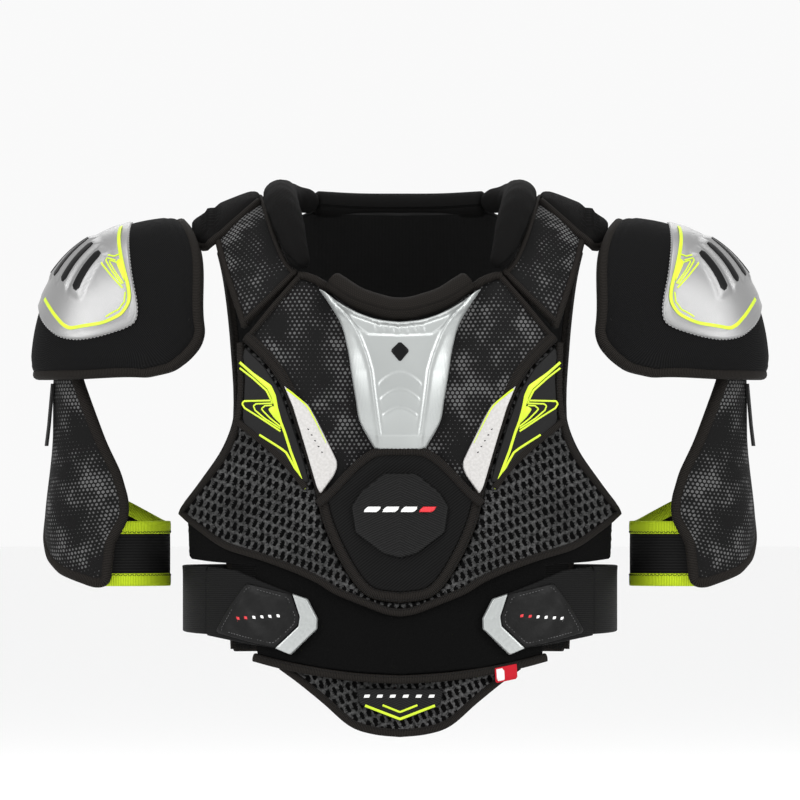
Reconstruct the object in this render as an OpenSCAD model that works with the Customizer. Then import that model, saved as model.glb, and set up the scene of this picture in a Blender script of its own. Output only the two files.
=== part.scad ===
// Hockey shoulder pads, as they stand on a wearer with the arms down.
// The front faces -Y, the wearer's left is +X, and the origin is the middle of the neck opening.

/* [Torso] */
// Half of the chest width over the pads
chest_half_w = 176; // [172:1:182]
// Half of the chest depth over the pads
chest_half_d = 122; // [114:1:130]
// Height of the shoulder line beside the neck
shoulder_z = 68; // [64:1:72]
// Thickness of the foam in the chest and back panels
foam_t = 7.5; // [5:0.5:8]

/* [Shoulder caps] */
// Reach of a cap outwards from its inner edge
cap_reach = 136; // [128:1:140]
// Half of the depth of a cap
cap_half_d = 82; // [76:1:88]
// Height of a cap above its lower edge
cap_rise = 126; // [118:1:130]

/* [Arms] */
// Radius of a bicep guard over its cover
guard_r = 52; // [50.5:0.5:54]
// Height of an elastic arm band
band_h = 49; // [35:1:55]

/* [Hidden] */
$fn = 64;
// the chest is at full depth below this height, and curves back to the shoulders above it
chest_z = -120;
waist_half_w = chest_half_w - 8;
squareness = 2.5;
shoulder_fall = 0.41;
neck_half_w = 70;
cap_x = 148;
cap_z = -90;
arm_x = 221;
pivot_z = -60;
pivot_y = -8;
guard_top = -80;
guard_h = 168;

// ---- lines ----
function ease(t) = let (c = min(max(t, 0), 1)) c * c * (3 - 2 * c);
function back_to_front(v) = [for (i = [len(v) - 1:-1:0]) v[i]];
function swap_side(v) = [for (p = v) [-p.x, p.y]];
// a line given from the middle outwards, made whole
function whole(v) = concat(back_to_front(swap_side([for (i = [1:len(v) - 1]) v[i]])), v);
function curve_at(a, b, c, d, t) =
    0.5 * (2 * b + (c - a) * t + (2 * a - 5 * b + 4 * c - d) * t * t + (3 * b - a - 3 * c + d) * t * t * t);
// a rounded line through the points, with k steps for each
function rounded(v, k) = let (n = len(v) - 1)
    concat([for (i = [0:n - 1]) for (s = [0:k - 1])
        curve_at(v[max(i - 1, 0)], v[i], v[i + 1], v[min(i + 2, n)], s / k)], [v[n]]);
// the line moved sideways by w
function beside(v, w) = let (n = len(v) - 1)
    [for (i = [0:n]) let (t = v[min(i + 1, n)] - v[max(i - 1, 0)]) v[i] + w * [-t.y, t.x] / norm(t)];

// the line as n even steps of its index
function resampled(v, n) = let (m = len(v) - 1)
    [for (i = [0:n]) let (k = min(floor(i * m / n), m - 1)) v[k] + (v[k + 1] - v[k]) * (i * m / n - k)];

// ---- torso surface ----
function half_w(z) = waist_half_w + (chest_half_w - waist_half_w) * ease((z + 240) / 50);
function top_z(x) = shoulder_z - shoulder_fall * max(abs(x) - neck_half_w, 0);
function inside(x, z) = max(1 - pow(min(abs(x) / half_w(z), 1), squareness), 0.002);
function depth(x, z) = chest_half_d * pow(inside(x, z), 1 / squareness);
function lifted(x, z) = min(max((z - chest_z) / (top_z(x) - chest_z), 0), 1);
// direction away from the body at a point of the surface
function away(p) = let (q = inside(p.x, p.z), s = lifted(p.x, p.z), h = top_z(p.x) - chest_z,
    fall = abs(p.x) > neck_half_w ? shoulder_fall : 0, x = max(abs(p.x), 0.01),
    n = [sign(p.x) * ((1 - s * s) * (1 - q) / (x * q) + s * s * fall / h),
         p.y / pow(depth(p.x, p.z), 2), s / h]) n / norm(n);
// front: [x, z] seen from the front, d away from the body
front = function (p, d) let (s = lifted(p.x, p.y), b = [p.x, -depth(p.x, p.y) * sqrt(1 - s * s), p.y])
    b + d * away(b);
// over: [x, a], where a is the angle from the front over the shoulder to the back, and then mm down the back
function shoulder_point(x, a) = let (t = min(a, 180), h = top_z(x) - chest_z, z = chest_z + h * sin(t))
    [x, -depth(x, a > 180 ? chest_z - (a - 180) : z) * cos(t), a > 180 ? chest_z - (a - 180) : z];
over = function (p, d) let (b = shoulder_point(p.x, p.y)) b + d * away(b);
// around: [angle from the front, z] round the side of the waist
around = function (p, d) let (w = half_w(p.y),
    b = [w * pow(sin(p.x), 2 / squareness), -sign(cos(p.x)) * chest_half_d * pow(abs(cos(p.x)), 2 / squareness), p.y],
    n = [pow(b.x, squareness - 1) / pow(w, squareness),
         sign(b.y) * pow(abs(b.y), squareness - 1) / pow(chest_half_d, squareness), 0]) b + d * n / norm(n);

// ---- solids ----
// padded sheet between lines a and b, from depth low to depth high, and thinner by soft at its edges
module pad(a, b, on, cuts, low, high, soft = 0) {
    n = len(a) - 1;
    m = len(cuts) - 1;
    r = n + 1;
    inner = [for (j = [0:m]) for (i = [0:n]) on(a[i] + (b[i] - a[i]) * cuts[j], low)];
    outer = [for (j = [0:m]) for (i = [0:n]) on(a[i] + (b[i] - a[i]) * cuts[j],
        high - (i == 0 || i == n || j == 0 || j == m ? soft : 0))];
    c = floor(m / 2) * r + floor(n / 2);
    turned = cross(outer[c + 1] - outer[c], outer[c + r] - outer[c]) * (outer[c] - inner[c]) < 0;
    o = r * (m + 1);
    faces = concat(
        [for (j = [0:m - 1]) for (i = [0:n - 1]) let (k = j * r + i) each [
            [k, k + r + 1, k + 1], [k, k + r, k + r + 1],
            [o + k, o + k + 1, o + k + r + 1], [o + k, o + k + r + 1, o + k + r]]],
        [for (i = [0:n - 1]) let (k = i, q = m * r + i) each [
            [k, k + 1, o + k + 1], [k, o + k + 1, o + k],
            [q + 1, q, o + q], [q + 1, o + q, o + q + 1]]],
        [for (j = [0:m - 1]) let (k = j * r, q = j * r + n) each [
            [k + r, k, o + k], [k + r, o + k, o + k + r],
            [q, q + r, o + q + r], [q, o + q + r, o + q]]]);
    polyhedron(concat(outer, inner), turned ? [for (f = faces) back_to_front(f)] : faces);
}
// solid through a row of sections, closed into a ring or with flat ends
module loft(sections, ring = false) {
    s = len(sections);
    v = len(sections[0]);
    mid = [for (e = sections) [for (p = e) 1] * e / v];
    turned = cross(sections[0][1] - sections[0][0], sections[0][2] - sections[0][0]) * (mid[1] - mid[0]) < 0;
    sides = [for (a = [0:ring ? s - 1 : s - 2]) for (i = [0:v - 1])
        let (b = (a + 1) % s, w = (i + 1) % v, p = a * v + i, q = a * v + w, t = b * v + i, u = b * v + w)
            each [[p, t, u], [p, u, q]]];
    ends = ring ? [] : [for (i = [0:v - 1]) let (w = (i + 1) % v)
        each [[s * v, i, w], [s * v + 1, (s - 1) * v + w, (s - 1) * v + i]]];
    faces = concat(sides, ends);
    polyhedron(concat([for (e = sections) each e], [mid[0], mid[s - 1]]),
        turned ? [for (f = faces) back_to_front(f)] : faces);
}
// round roll along a path of [x, y, z, radius], drawn in at its ends
module roll(path) {
    n = len(path) - 1;
    at = [for (p = path) [p[0], p[1], p[2]]];
    loft([for (i = [0:n]) let (t = at[min(i + 1, n)] - at[max(i - 1, 0)], u = t / norm(t),
        side = cross(u, [0, 0, 1]) / norm(cross(u, [0, 0, 1])), up = cross(side, u),
        r = path[i][3] * (0.6 + 0.4 * pow(sin(180 * min(max(i / n, 0.03), 0.97)), 0.35)))
            [for (k = [0:9]) at[i] + r * (side * cos(36 * k) + up * 0.95 * sin(36 * k))]]);
}
// binding round the rim of a sheet, with its section given as [beyond the rim, above the surface]
module rim(loop, on, section) {
    n = len(loop);
    base = [for (p = loop) on(p, 0)];
    loft([for (i = [0:n - 1]) let (t = base[(i + 1) % n] - base[(i + n - 1) % n],
        h = on(loop[i], 1) - base[i], up = h / norm(h), b = cross(t, up) / norm(cross(t, up)))
            [for (s = section) base[i] + b * s.x + up * s.y]], true);
}
module both_sides(left) {
    mirror([left ? 0 : 1, 0, 0]) children();
}

// ---- chest ----
even4 = [0, 0.25, 0.5, 0.75, 1];
even3 = [0, 1 / 3, 2 / 3, 1];
rolled = [0, 0.06, 0.28, 0.5, 0.72, 0.94, 1];
chest_edge = [[0, -260.5], [21, -257.3], [34, -247], [47.5, -225.3], [59, -199], [66.5, -169], [81, -123],
              [90, -98], [102, -79], [121, -60]];
chest_top = [[0, -49], [16, -47], [32, -41], [45, -33], [56.5, -23], [64.5, -15], [77, -9], [90, -23],
             [104, -39.7], [116.6, -54.7]];
module chest_panel() color("#26282a")
    pad(whole(rounded(chest_top, 2)), beside(whole(rounded(chest_edge, 2)), 6.4), front, rolled, -foam_t, 0, 2.5);
module chest_binding() color("#2c2620")
    pad(beside(whole(rounded(chest_edge, 2)), 0.4), beside(whole(rounded(chest_edge, 2)), 6), front,
        [0, 0.5, 1], -foam_t, 1, 1.5);
liner_low = [[0, -264], [30, -252], [63, -239], [92, -226], [121, -212], [155, -195], [150, -172],
             [128, -144], [119, -105], [119, -66]];
module chest_liner() color("#3b3d40")
    pad(whole(chest_top), whole(liner_low), front, even4, -foam_t - 2.6, -foam_t - 1.1);
// shield-shaped plate: left and right halves of each row, from the top down
plate_half = [[61, -21.5], [44, -46], [39, -68], [36.5, -86], [33.5, -105], [30, -123], [19, -143]];
plate_low = [[0, -143.4], [10, -143.4], [19, -143]];
plate_top = [[0, -47], [17, -46], [33, -39]];
plate_rise = [[0, 1.6], [0.18, 6], [0.3, 8.5], [0.5, 7], [0.7, 8.5], [0.82, 6], [1, 1.6]];
module sternum_plate() color("#b9bcc0") {
    left = [for (p = rounded(plate_half, 2)) [-p.x, p.y]];
    right = rounded(plate_half, 2);
    sag = function (x, t) 12 * (1 - pow(x, 2)) * pow(1 - t, 6);
    rows = len(right) - 1;
    across = [for (c = plate_rise) c[0]];
    at = function (i, j) [right[j].x * (2 * across[i] - 1),
        right[j].y - sag(2 * across[i] - 1, j / rows) * (j == 0 ? 2 : 1.2)];
    skin = function (p, d) let (i = p.x, j = p.y) front(at(i, j), d < 0 ? 0.8
        : plate_rise[i][1] * (j == 0 ? 0.5 : j == rows ? 0.35 : 1) + 0.8);
    n = len(plate_rise) - 1;
    pad([for (i = [0:n]) [i, 0]], [for (i = [0:n]) [i, rows]], skin, [for (j = [0:rows]) j / rows], -1, 1);
}
shield_top = [[0, -145.5], [19, -146], [33, -155], [48, -170], [59, -181]];
shield_low = [[0, -252], [24, -243], [38, -227], [51, -197], [56.5, -184]];
module chest_shield() color("#1b1b1d")
    pad(whole(shield_top), whole(shield_low), front, even4, 0.8, 2.6, 0.8);
module chest_badge() color("#3a3d42")
    pad([[-12, -162], [0, -162], [12, -162]], [[-12, -222], [0, -226], [12, -222]],
        function (p, d) front([p.x * (1 + 1.9 * sin(180 * min(max((-p.y - 162) / 62, 0), 1))), p.y], d),
        [0, 0.2, 0.4, 0.6, 0.8, 1], 3, 4.8, 0.8);
wedge_in = [[88, -96], [72, -109], [60, -130], [50, -151], [51, -161]];
wedge_out = [[87, -99], [78.5, -111], [70, -131], [63.5, -152], [59.5, -169]];
module accent_wedge(left) color("#c9ccd0") both_sides(left)
    pad(rounded(wedge_in, 2), rounded(wedge_out, 2), front, even3, 0.8, 2.4, 0.6);
armhole = [[169.5, -192.5], [157, -171.5], [135, -141.5], [125.5, -108], [125.7, -62]];
wing_low = [[0.3, -271], [12, -269], [33, -261], [51, -253.5], [65, -245], [83, -237], [108, -228], [135, -219.5],
            [155, -206.5], [164, -199.4]];
wing_out = concat(back_to_front(beside(rounded(armhole, 3), 6.3)), back_to_front(wing_low));
wing_in = resampled(back_to_front(beside(rounded(chest_edge, 2), -1)), len(wing_out) - 1);
module wing(left) color("#2e3033") both_sides(left)
    pad(wing_in, wing_out, front, [0, 0.08, 0.36, 0.64, 0.92, 1], -foam_t, -0.6, 2);
graphic_in = [[118.5, -65.5], [103.5, -80.5], [91.7, -99], [82.7, -123.7], [75, -147], [69.3, -168]];
graphic_out = [[119, -70], [117.5, -95], [118, -112], [119, -122], [104, -134], [75.5, -170]];
module wing_graphic(left) color("#45484c") both_sides(left)
    pad(rounded(graphic_in, 2), rounded(graphic_out, 2), front, even3, -0.2, 1, 0.4);
module wing_bindings() color("#2c2620")
    for (left = [true, false]) both_sides(left)
        pad(beside(rounded(armhole, 3), 0.4), beside(rounded(armhole, 3), 5.8), front, [0, 0.5, 1], -foam_t, 0, 1.2);
belly_top = [[0, -272.6], [12, -270.7], [33, -262.7], [51, -255.2], [65, -246.7], [83, -238.7], [108, -229.7],
             [112.5, -228.4], [114.5, -227.8], [135, -221.2], [155, -208.4], [167, -199.5]];
belly_low = [[0, -315.4], [12, -315], [31, -313.8], [47, -312], [62, -309.8], [78, -307.2], [100, -302.2],
             [112, -299], [113.6, -230.7], [135, -230], [154, -229.3], [166, -228.4]];
module belly_panel() color("#141414")
    pad(whole(belly_top), whole(belly_low), front, even4, -foam_t, -4, 0.6);
hem = [[0, -322], [22, -321], [43, -319], [70, -315], [95, -310], [112, -305.5]];
module belly_binding() color("#2c2620")
    pad(whole(rounded(hem, 2)), beside(whole(rounded(hem, 2)), 6), front, [0, 0.5, 1], -foam_t, -3.8, 1);
module size_tag() color("#c8202c")
    pad([[73, -310], [81, -309], [90, -307.5]], [[73.5, -322], [81.5, -321], [90.5, -319.5]], front,
        [0, 0.5, 1], -3.4, -2.8);
module collar_front() color("#1a1a1b")
    roll([for (p = rounded(whole([[0, -33.6], [12, -32.6], [31.6, -27.2], [45, -19.8], [52.5, -14.4]]), 2))
        concat(front(p, 3), 7.8)]);

// ---- extension ----
drop_top = [[0, -288], [30, -288], [55, -288], [72, -291], [84, -298]];
drop_edge = [[0, -363], [20, -361], [38, -355], [58, -338], [78, -323], [95, -312]];
drop_low = [[0, -356.4], [27, -352.5], [50, -335.5], [70, -320], [87, -307.5]];
module extension_pad() color("#2e3033")
    pad(whole(drop_top), whole(drop_low), front, even4, -13, -8.6, 1);
module extension_binding() color("#2c2620")
    pad(whole(rounded(drop_edge, 2)), beside(whole(rounded(drop_edge, 2)), 6), front, [0, 0.5, 1], -13.4, -8.4, 1);
module extension_badge() color("#222426")
    pad([[-33, -326], [-16, -325.5], [0, -325], [16, -325.5], [33, -326]],
        [[-29, -338], [-15, -344], [0, -349.5], [15, -344], [29, -338]], front, even3, -8.2, -6.8, 0.3);

// ---- belt straps ----
module belt_strap(left) color("#2f3134") both_sides(left)
    pad([for (i = [0:9]) [60 + 8.5 * i, -232.4]], [for (i = [0:9]) [60 + 8.5 * i, -285 + 0.5 * i]], around,
        even3, -3.4, -0.9, 0.5);
tab_in = [[81.8, -247], [83, -254.2], [77, -271], [78.2, -278], [96, -295.2], [95.6, -299.6]];
tab_out = [[149, -233.6], [149, -242], [149, -256], [149, -268], [149, -280], [149, -285.6]];
module strap_tab(left) color("#303236") both_sides(left)
    pad(tab_in, tab_out, front, [0, 0.08, 0.25, 0.42, 0.6, 0.8, 1], -3.4, -0.6, 0.5);
end_in = [[82.5, -254.4], [76.5, -271.2], [77.6, -278], [95.4, -295.4]];
end_out = [[71, -258], [63.5, -273], [63.8, -280], [84, -300]];
module strap_end(left) color("#bfc2c6") both_sides(left)
    pad(end_in, end_out, front, [0, 0.5, 1], -3.4, -0.2, 0.5);

// ---- back ----
back_side = [[138, 126], [133, 140], [128, 160], [126, 180], [135, 205], [152, 230], [165, 247]];
even14 = [for (i = [0:14]) i / 14];
module back_panel() color("#242628")
    pad(back_side, swap_side(back_side), over, even14, -foam_t, 0, 2);
module lower_back_panel() color("#1c1d1f")
    pad([for (i = [0:12]) [-138 + 23 * i, 249.5]], [for (i = [0:12]) [-132 + 22 * i, 358]], over, even4,
        -foam_t, -4, 0.6);
module spine_plate() color("#3a3d42")
    pad([for (i = [0:10]) [30 + 6 * cos(36 * i), 134 + 11 * i]],
        [for (i = [0:10]) [-30 - 6 * cos(36 * i), 134 + 11 * i]], over, [0, 0.1, 0.3, 0.5, 0.7, 0.9, 1], 0.9, 6, 2.5);
scapula_in = [[50, 137], [46, 155], [44, 172], [46, 195], [52, 215]];
scapula_out = [[116, 133], [117, 152], [112, 172], [112, 195], [118, 212]];
module scapula_pad(left) color("#303236") both_sides(left)
    pad(rounded(scapula_in, 2), rounded(scapula_out, 2), over, [0, 0.1, 0.35, 0.65, 0.9, 1], 0.4, 9, 4);
module collar_back() color("#161617")
    roll(rounded([[-60, 58, 45, 10.5], [-34, 66, 44, 10.5], [0, 68.5, 43.7, 10.5], [34, 66, 44, 10.5],
                  [60, 58, 45, 10.5]], 3));
module collar(left) color("#161617") both_sides(left)
    roll(rounded([[72, -93, -4, 7], [79, -86, 8, 10], [85.5, -68, 29, 12.5], [90, -46, 43, 13], [92, -18, 50, 13],
                  [91, 10, 52, 13], [83, 34, 50, 12], [65, 54.5, 46.5, 11]], 2));
yoke_in = [[81.5, 37.5], [91, 43], [100, 55], [105.5, 72], [107, 90], [106, 104], [99, 116], [92, 124]];
yoke_out = [[121.5, 25], [130, 36], [138, 49], [143.5, 66], [145, 90], [144, 104], [142, 115], [139.5, 124]];
module yoke(left) color("#26282a") both_sides(left)
    pad(rounded(yoke_in, 2), rounded(yoke_out, 2), over, [0, 0.1, 0.36, 0.64, 0.9, 1], -foam_t, 0.5, 3);
module clavicle_pad(left) color("#1e1f21") both_sides(left)
    pad([[108, 75], [122, 68], [136, 62], [146, 59], [153, 60], [161, 66]],
        [[108, 118], [122, 118], [136, 117.5], [146, 116.5], [153, 114], [161, 108]],
        function (p, d) over(p, d - 3 * ease((p.x - 145.5) / 4)), [0, 0.06, 0.2, 0.35, 0.5, 0.65, 0.8, 0.94, 1],
        1.6, 6.2, 2);

// ---- shoulder caps ----
// dome: [angle from the top outwards, angle from the side to the front], d outside its surface
dome = function (p, d) let (c = pow(cos(p.y), 0.8))
    [cap_x + (cap_reach + d) * c * pow(sin(p.x), 0.8),
     -(cap_half_d + d) * sign(p.y) * pow(abs(sin(p.y)), 0.8),
     cap_z + (cap_rise + d) * c * pow(cos(p.x), 0.8)];
// how far the lower inner corner is cut off, by the angle a from the top
function corner(a) = lookup(a, [[7.9, 0.307], [13.3, 0.25], [24, 0.218], [41.4, 0.2], [60, 0.212], [71.1, 0.236],
    [78, 0.285], [83.75, 0.36]]);
// i runs -1 to 1 from the back to the front, and j runs 0 to 1 from the inner edge to the lower edge
function on_cap(i, j) = let (e = 7.9 + 75.85 * j, b = i * acos(pow(corner(e), 1.25)), c = pow(cos(b), 0.8),
    a = asin(pow(min((8 + 15 * pow(cos(b), 6)) / cap_reach / c, 1), 1.25)),
    z = acos(pow(min(6 / cap_rise / c, 1), 1.25)), k = pow(abs(i), 6)) [(a + (z - a) * j) * (1 - k) + e * k, b];
cap_grid = function (p, d) dome(on_cap(p.x, p.y), d);
cap_i = [-1, -0.94, -0.8, -0.56, -0.28, 0, 0.28, 0.56, 0.8, 0.94, 1];
cap_j = [0, 0.06, 0.25, 0.47, 0.7, 0.92, 1];
cap_loop = concat([for (i = [-1:0.2:0.99]) on_cap(i, 0)], [for (j = [0:0.125:0.99]) on_cap(1, j)],
    [for (i = [1:-0.2:-0.99]) on_cap(i, 1)], [for (j = [1:-0.125:0.01]) on_cap(-1, j)]);
module cap_layer(low, high, soft)
    pad([for (i = cap_i) [i, 0]], [for (i = cap_i) [i, 1]], cap_grid, cap_j, low, high, soft);
module cap_cover(left) color("#151516") both_sides(left) cap_layer(-5, 0, 2.8);
module cap_shell(left) color("#2d2f33") both_sides(left) cap_layer(-8, -5.4, 0);
module cap_liner(left) color("#4a4c50") both_sides(left) cap_layer(-13.6, -8.4, 0);
module cap_emblem(left) color("#b6babf") both_sides(left)
    pad([for (b = [-65:13:65.1]) [lookup(abs(b), [[0, 20], [30, 24.5], [43, 28.5], [55, 34.5], [65, 48]]), b]],
        [for (b = [-65:13:65.1])
            [lookup(abs(b), [[0, 69], [17, 72.5], [37, 76.6], [47, 75.4], [55, 71], [65, 54]]), b]],
        dome, [0, 0.06, 0.3, 0.5, 0.7, 0.94, 1], 0.9, 3.8, 1.6);
module cap_binding(left) color("#2c2620") both_sides(left)
    rim(cap_loop, dome, [[0.9, -2], [3.8, -2.6], [5.8, -7], [5, -12], [0.9, -13.8]]);
// anchor plate and bar inside the cap, on which the bicep guard hangs
module cap_hanger(left) color("#55585c") both_sides(left) {
    translate([261, pivot_y, pivot_z]) cube([3, 13, 11], center = true);
    translate([244, pivot_y, pivot_z]) rotate([0, 90, 0]) cylinder(d = 5, h = 16);
    translate([242.5, pivot_y, pivot_z]) rotate([0, 90, 0]) cylinder(d = 9, h = 1.5);
}

// ---- bicep guards ----
function guard_radius(z) = guard_r - 7 * ease((z + 212) / 85);
function front_edge(z) = lookup(z, [[-250, 2], [-217, -2], [-198, -14.5], [-184, -14.5], [-164, -7.7],
    [-139, 7.8], [-105, 27], [-91, 35], [-80, 38]]);
function rear_edge(z) = lookup(z, [[-250, 96], [-214, 118], [-190, 140], [-150, 148], [-80, 142]]);
function low_edge(a) = lookup(a, [[2, -249], [15, -250], [50, -240], [70, -230], [90, -214], [112, -197],
    [140, -180]]);
// i runs -1 to 1 from the front edge round the outside to the back edge, and j from the top down
guard = function (p, d) let (i = p.x, j = p.y, f = front_edge(guard_top - j * guard_h) + 4,
    a = f + (rear_edge(guard_top - j * guard_h) - 4 - f) * (i + 1) / 2,
    z = guard_top + j * (low_edge(a) + 4.5 - guard_top), r = guard_radius(z) + d)
        [arm_x + r * sin(a), -r * cos(a), z];
guard_i = [for (i = [-5:5]) i / 5];
guard_j = [0, 0.05, 0.22, 0.4, 0.58, 0.76, 0.93, 1];
module guard_layer(low, high, soft)
    pad([for (i = guard_i) [i, 0]], [for (i = guard_i) [i, 1]], guard, guard_j, low, high, soft);
module bicep_cover(left) color("#26282a") both_sides(left) guard_layer(-2.6, 0, 0.8);
module bicep_insert(left) color("#4a4c50") both_sides(left) guard_layer(-6, -3, 0);
guard_loop = concat([for (i = [-1:0.2:0.99]) [i, 0]], [for (j = [0:0.125:0.99]) [1, j]],
    [for (i = [1:-0.2:-0.99]) [i, 1]], [for (j = [1:-0.125:0.01]) [-1, j]]);
module bicep_binding(left) color("#2c2620") both_sides(left)
    rim(back_to_front(guard_loop), guard, [[0.9, 0.5], [3.2, 0.1], [4.1, -3], [3.2, -6], [0.9, -6.2]]);
// open band from under the front edge round the inside of the arm, rising to the back edge
band_at = [for (i = [0:20]) let (a = 12 - 13.1 * i) [a, -199 + 32 * ease((-a - 110) / 130)]];
module arm_band(left) color("#191a1b") both_sides(left)
    pad(band_at, [for (p = band_at) [p.x, p.y - band_h]],
        function (p, d) let (r = guard_radius(p.y) - 8.4 + d) [arm_x + r * sin(p.x), -r * cos(p.x), p.y],
        [0, 0.5, 1], -1, 1);
// loop over the bar, web down inside the guard, and two adjusting tails outside it
module hanger_strap(left) color("#232426") both_sides(left) {
    translate([246, pivot_y, pivot_z]) rotate([0, 90, 0]) difference() {
        cylinder(d = 10.4, h = 12);
        translate([0, 0, -1]) cylinder(d = 6.4, h = 14);
    }
    translate([252, pivot_y, -90]) cube([2.4, 22, 50], center = true);
    for (a = [76, 92]) {
        lie = function (p, d) let (r = guard_radius(p.y) + d - 0.09 * (p.y + 93))
            [arm_x + r * sin(p.x), -r * cos(p.x), p.y];
        pad([for (i = [0:3]) [a, -93 - 16 * i]], [for (i = [0:3]) [a + 8, -93 - 16 * i]], lie, [0, 0.5, 1], 0.9, 2.7);
    }
}

back_panel();
lower_back_panel();
spine_plate();
scapula_pad(true);  // scapula_pad_left
scapula_pad(false);  // scapula_pad_right
collar_back();
collar(true);  // collar_left
collar(false);  // collar_right
yoke(true);  // yoke_left
yoke(false);  // yoke_right
clavicle_pad(true);  // clavicle_pad_left
clavicle_pad(false);  // clavicle_pad_right
chest_panel();
chest_liner();
sternum_plate();
chest_shield();
chest_badge();
accent_wedge(true);  // accent_wedge_left
accent_wedge(false);  // accent_wedge_right
wing(true);  // wing_left
wing(false);  // wing_right
wing_graphic(true);  // wing_graphic_left
wing_graphic(false);  // wing_graphic_right
chest_binding();
wing_bindings();
belly_panel();
belly_binding();
size_tag();
collar_front();
extension_pad();
extension_binding();
extension_badge();
belt_strap(true);  // belt_strap_left
belt_strap(false);  // belt_strap_right
strap_tab(true);  // strap_tab_left
strap_tab(false);  // strap_tab_right
strap_end(true);  // strap_end_left
strap_end(false);  // strap_end_right
cap_shell(true);  // cap_shell_left
cap_shell(false);  // cap_shell_right
cap_cover(true);  // cap_cover_left
cap_cover(false);  // cap_cover_right
cap_liner(true);  // cap_liner_left
cap_liner(false);  // cap_liner_right
cap_emblem(true);  // cap_emblem_left
cap_emblem(false);  // cap_emblem_right
cap_binding(true);  // cap_binding_left
cap_binding(false);  // cap_binding_right
cap_hanger(true);  // cap_hanger_left
cap_hanger(false);  // cap_hanger_right
bicep_cover(true);  // bicep_cover_left
bicep_cover(false);  // bicep_cover_right
bicep_insert(true);  // bicep_insert_left
bicep_insert(false);  // bicep_insert_right
bicep_binding(true);  // bicep_binding_left
bicep_binding(false);  // bicep_binding_right
arm_band(true);  // arm_band_left
arm_band(false);  // arm_band_right
hanger_strap(true);  // hanger_strap_left
hanger_strap(false);  // hanger_strap_right
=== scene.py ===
"""Hockey shoulder pads: the looks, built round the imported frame, in millimetres until the meshes are made."""
import math

import bpy
import numpy as np
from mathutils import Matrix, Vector, geometry


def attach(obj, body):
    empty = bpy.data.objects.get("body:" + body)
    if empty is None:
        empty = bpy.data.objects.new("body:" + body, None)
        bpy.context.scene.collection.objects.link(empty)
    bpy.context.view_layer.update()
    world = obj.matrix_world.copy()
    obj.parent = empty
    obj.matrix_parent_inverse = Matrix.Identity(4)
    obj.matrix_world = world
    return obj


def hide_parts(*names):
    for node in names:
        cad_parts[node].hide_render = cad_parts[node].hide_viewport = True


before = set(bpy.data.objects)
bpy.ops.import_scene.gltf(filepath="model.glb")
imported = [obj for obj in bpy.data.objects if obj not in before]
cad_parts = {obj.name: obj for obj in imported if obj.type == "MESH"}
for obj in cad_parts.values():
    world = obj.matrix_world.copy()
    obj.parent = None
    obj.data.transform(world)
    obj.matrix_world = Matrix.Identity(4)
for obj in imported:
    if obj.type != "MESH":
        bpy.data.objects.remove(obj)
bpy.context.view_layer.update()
MM = 0.001
DEG = math.pi / 180
NEAR = {"left": 1, "right": -1}

# ---- surfaces, as in the CAD source
# Each takes points of two numbers and a height d above the surface. front: x, z. over: x, degrees from the front over
# the shoulder, then millimetres down the back. around: degrees round the waist, z. dome: two angles. arm: degrees round
# the arm, z. cap and guard: a grid of [-1..1, 0..1].
CHEST_Z, SQUARE, FALL, NECK = -120.0, 2.5, 0.41, 70.0
HALF_D, SHOULDER = 122.0, 68.0
CAP_X, CAP_Z, REACH, CAP_D, RISE = 148.0, -90.0, 136.0, 82.0, 126.0
ARM_X, GUARD_R, GUARD_TOP, GUARD_H = 221.0, 52.0, -80.0, 168.0


def ease(t):
    t = np.clip(t, 0, 1)
    return t * t * (3 - 2 * t)


def half_w(z):
    return 168 + 8 * ease((z + 240) / 50)


def top_z(x):
    return SHOULDER - FALL * np.maximum(np.abs(x) - NECK, 0)


def inside(x, z):
    return np.maximum(1 - np.minimum(np.abs(x) / half_w(z), 1) ** SQUARE, 0.002)


def depth(x, z):
    return HALF_D * inside(x, z) ** (1 / SQUARE)


def lifted(x, z):
    return np.clip((z - CHEST_Z) / (top_z(x) - CHEST_Z), 0, 1)


def columns(*v):
    return np.stack(np.broadcast_arrays(*v), 1)


def unit(v):
    return v / np.maximum(np.linalg.norm(v, axis=-1, keepdims=True), 1e-12)


def away(p):
    x, y, z = p[:, 0], p[:, 1], p[:, 2]
    q, s, h = inside(x, z), lifted(x, z), top_z(x) - CHEST_Z
    fall = s * s * FALL * ease((np.abs(x) - 50) / 40) / h
    sideways = (1 - s * s) * (1 - q) / (np.maximum(np.abs(x), 0.01) * q) + fall
    return unit(columns(np.sign(x) * sideways, y / depth(x, z) ** 2, s / h))


def front(p, d):
    s = lifted(p[:, 0], p[:, 1])
    b = columns(p[:, 0], -depth(p[:, 0], p[:, 1]) * np.sqrt(1 - s * s), p[:, 1])
    return b + np.reshape(d, (-1, 1)) * away(b)


def over(p, d):
    x, a = p[:, 0], p[:, 1]
    t, h = np.minimum(a, 180) * DEG, top_z(x) - CHEST_Z
    z = np.where(a > 180, CHEST_Z - (a - 180), CHEST_Z + h * np.sin(t))
    b = columns(x, -depth(x, z) * np.cos(t), z)
    return b + np.reshape(d, (-1, 1)) * away(b)


def around(p, d):
    w, c, s = half_w(p[:, 1]), np.cos(p[:, 0] * DEG), np.sin(p[:, 0] * DEG)
    b = columns(w * np.sign(s) * np.abs(s) ** 0.8, -np.sign(c) * HALF_D * np.abs(c) ** 0.8, p[:, 1])
    n = columns(np.sign(s) * np.abs(b[:, 0]) ** 1.5 / w ** 2.5,
                np.sign(b[:, 1]) * np.abs(b[:, 1]) ** 1.5 / HALF_D ** 2.5, 0)
    return b + np.reshape(d, (-1, 1)) * unit(n)


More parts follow.
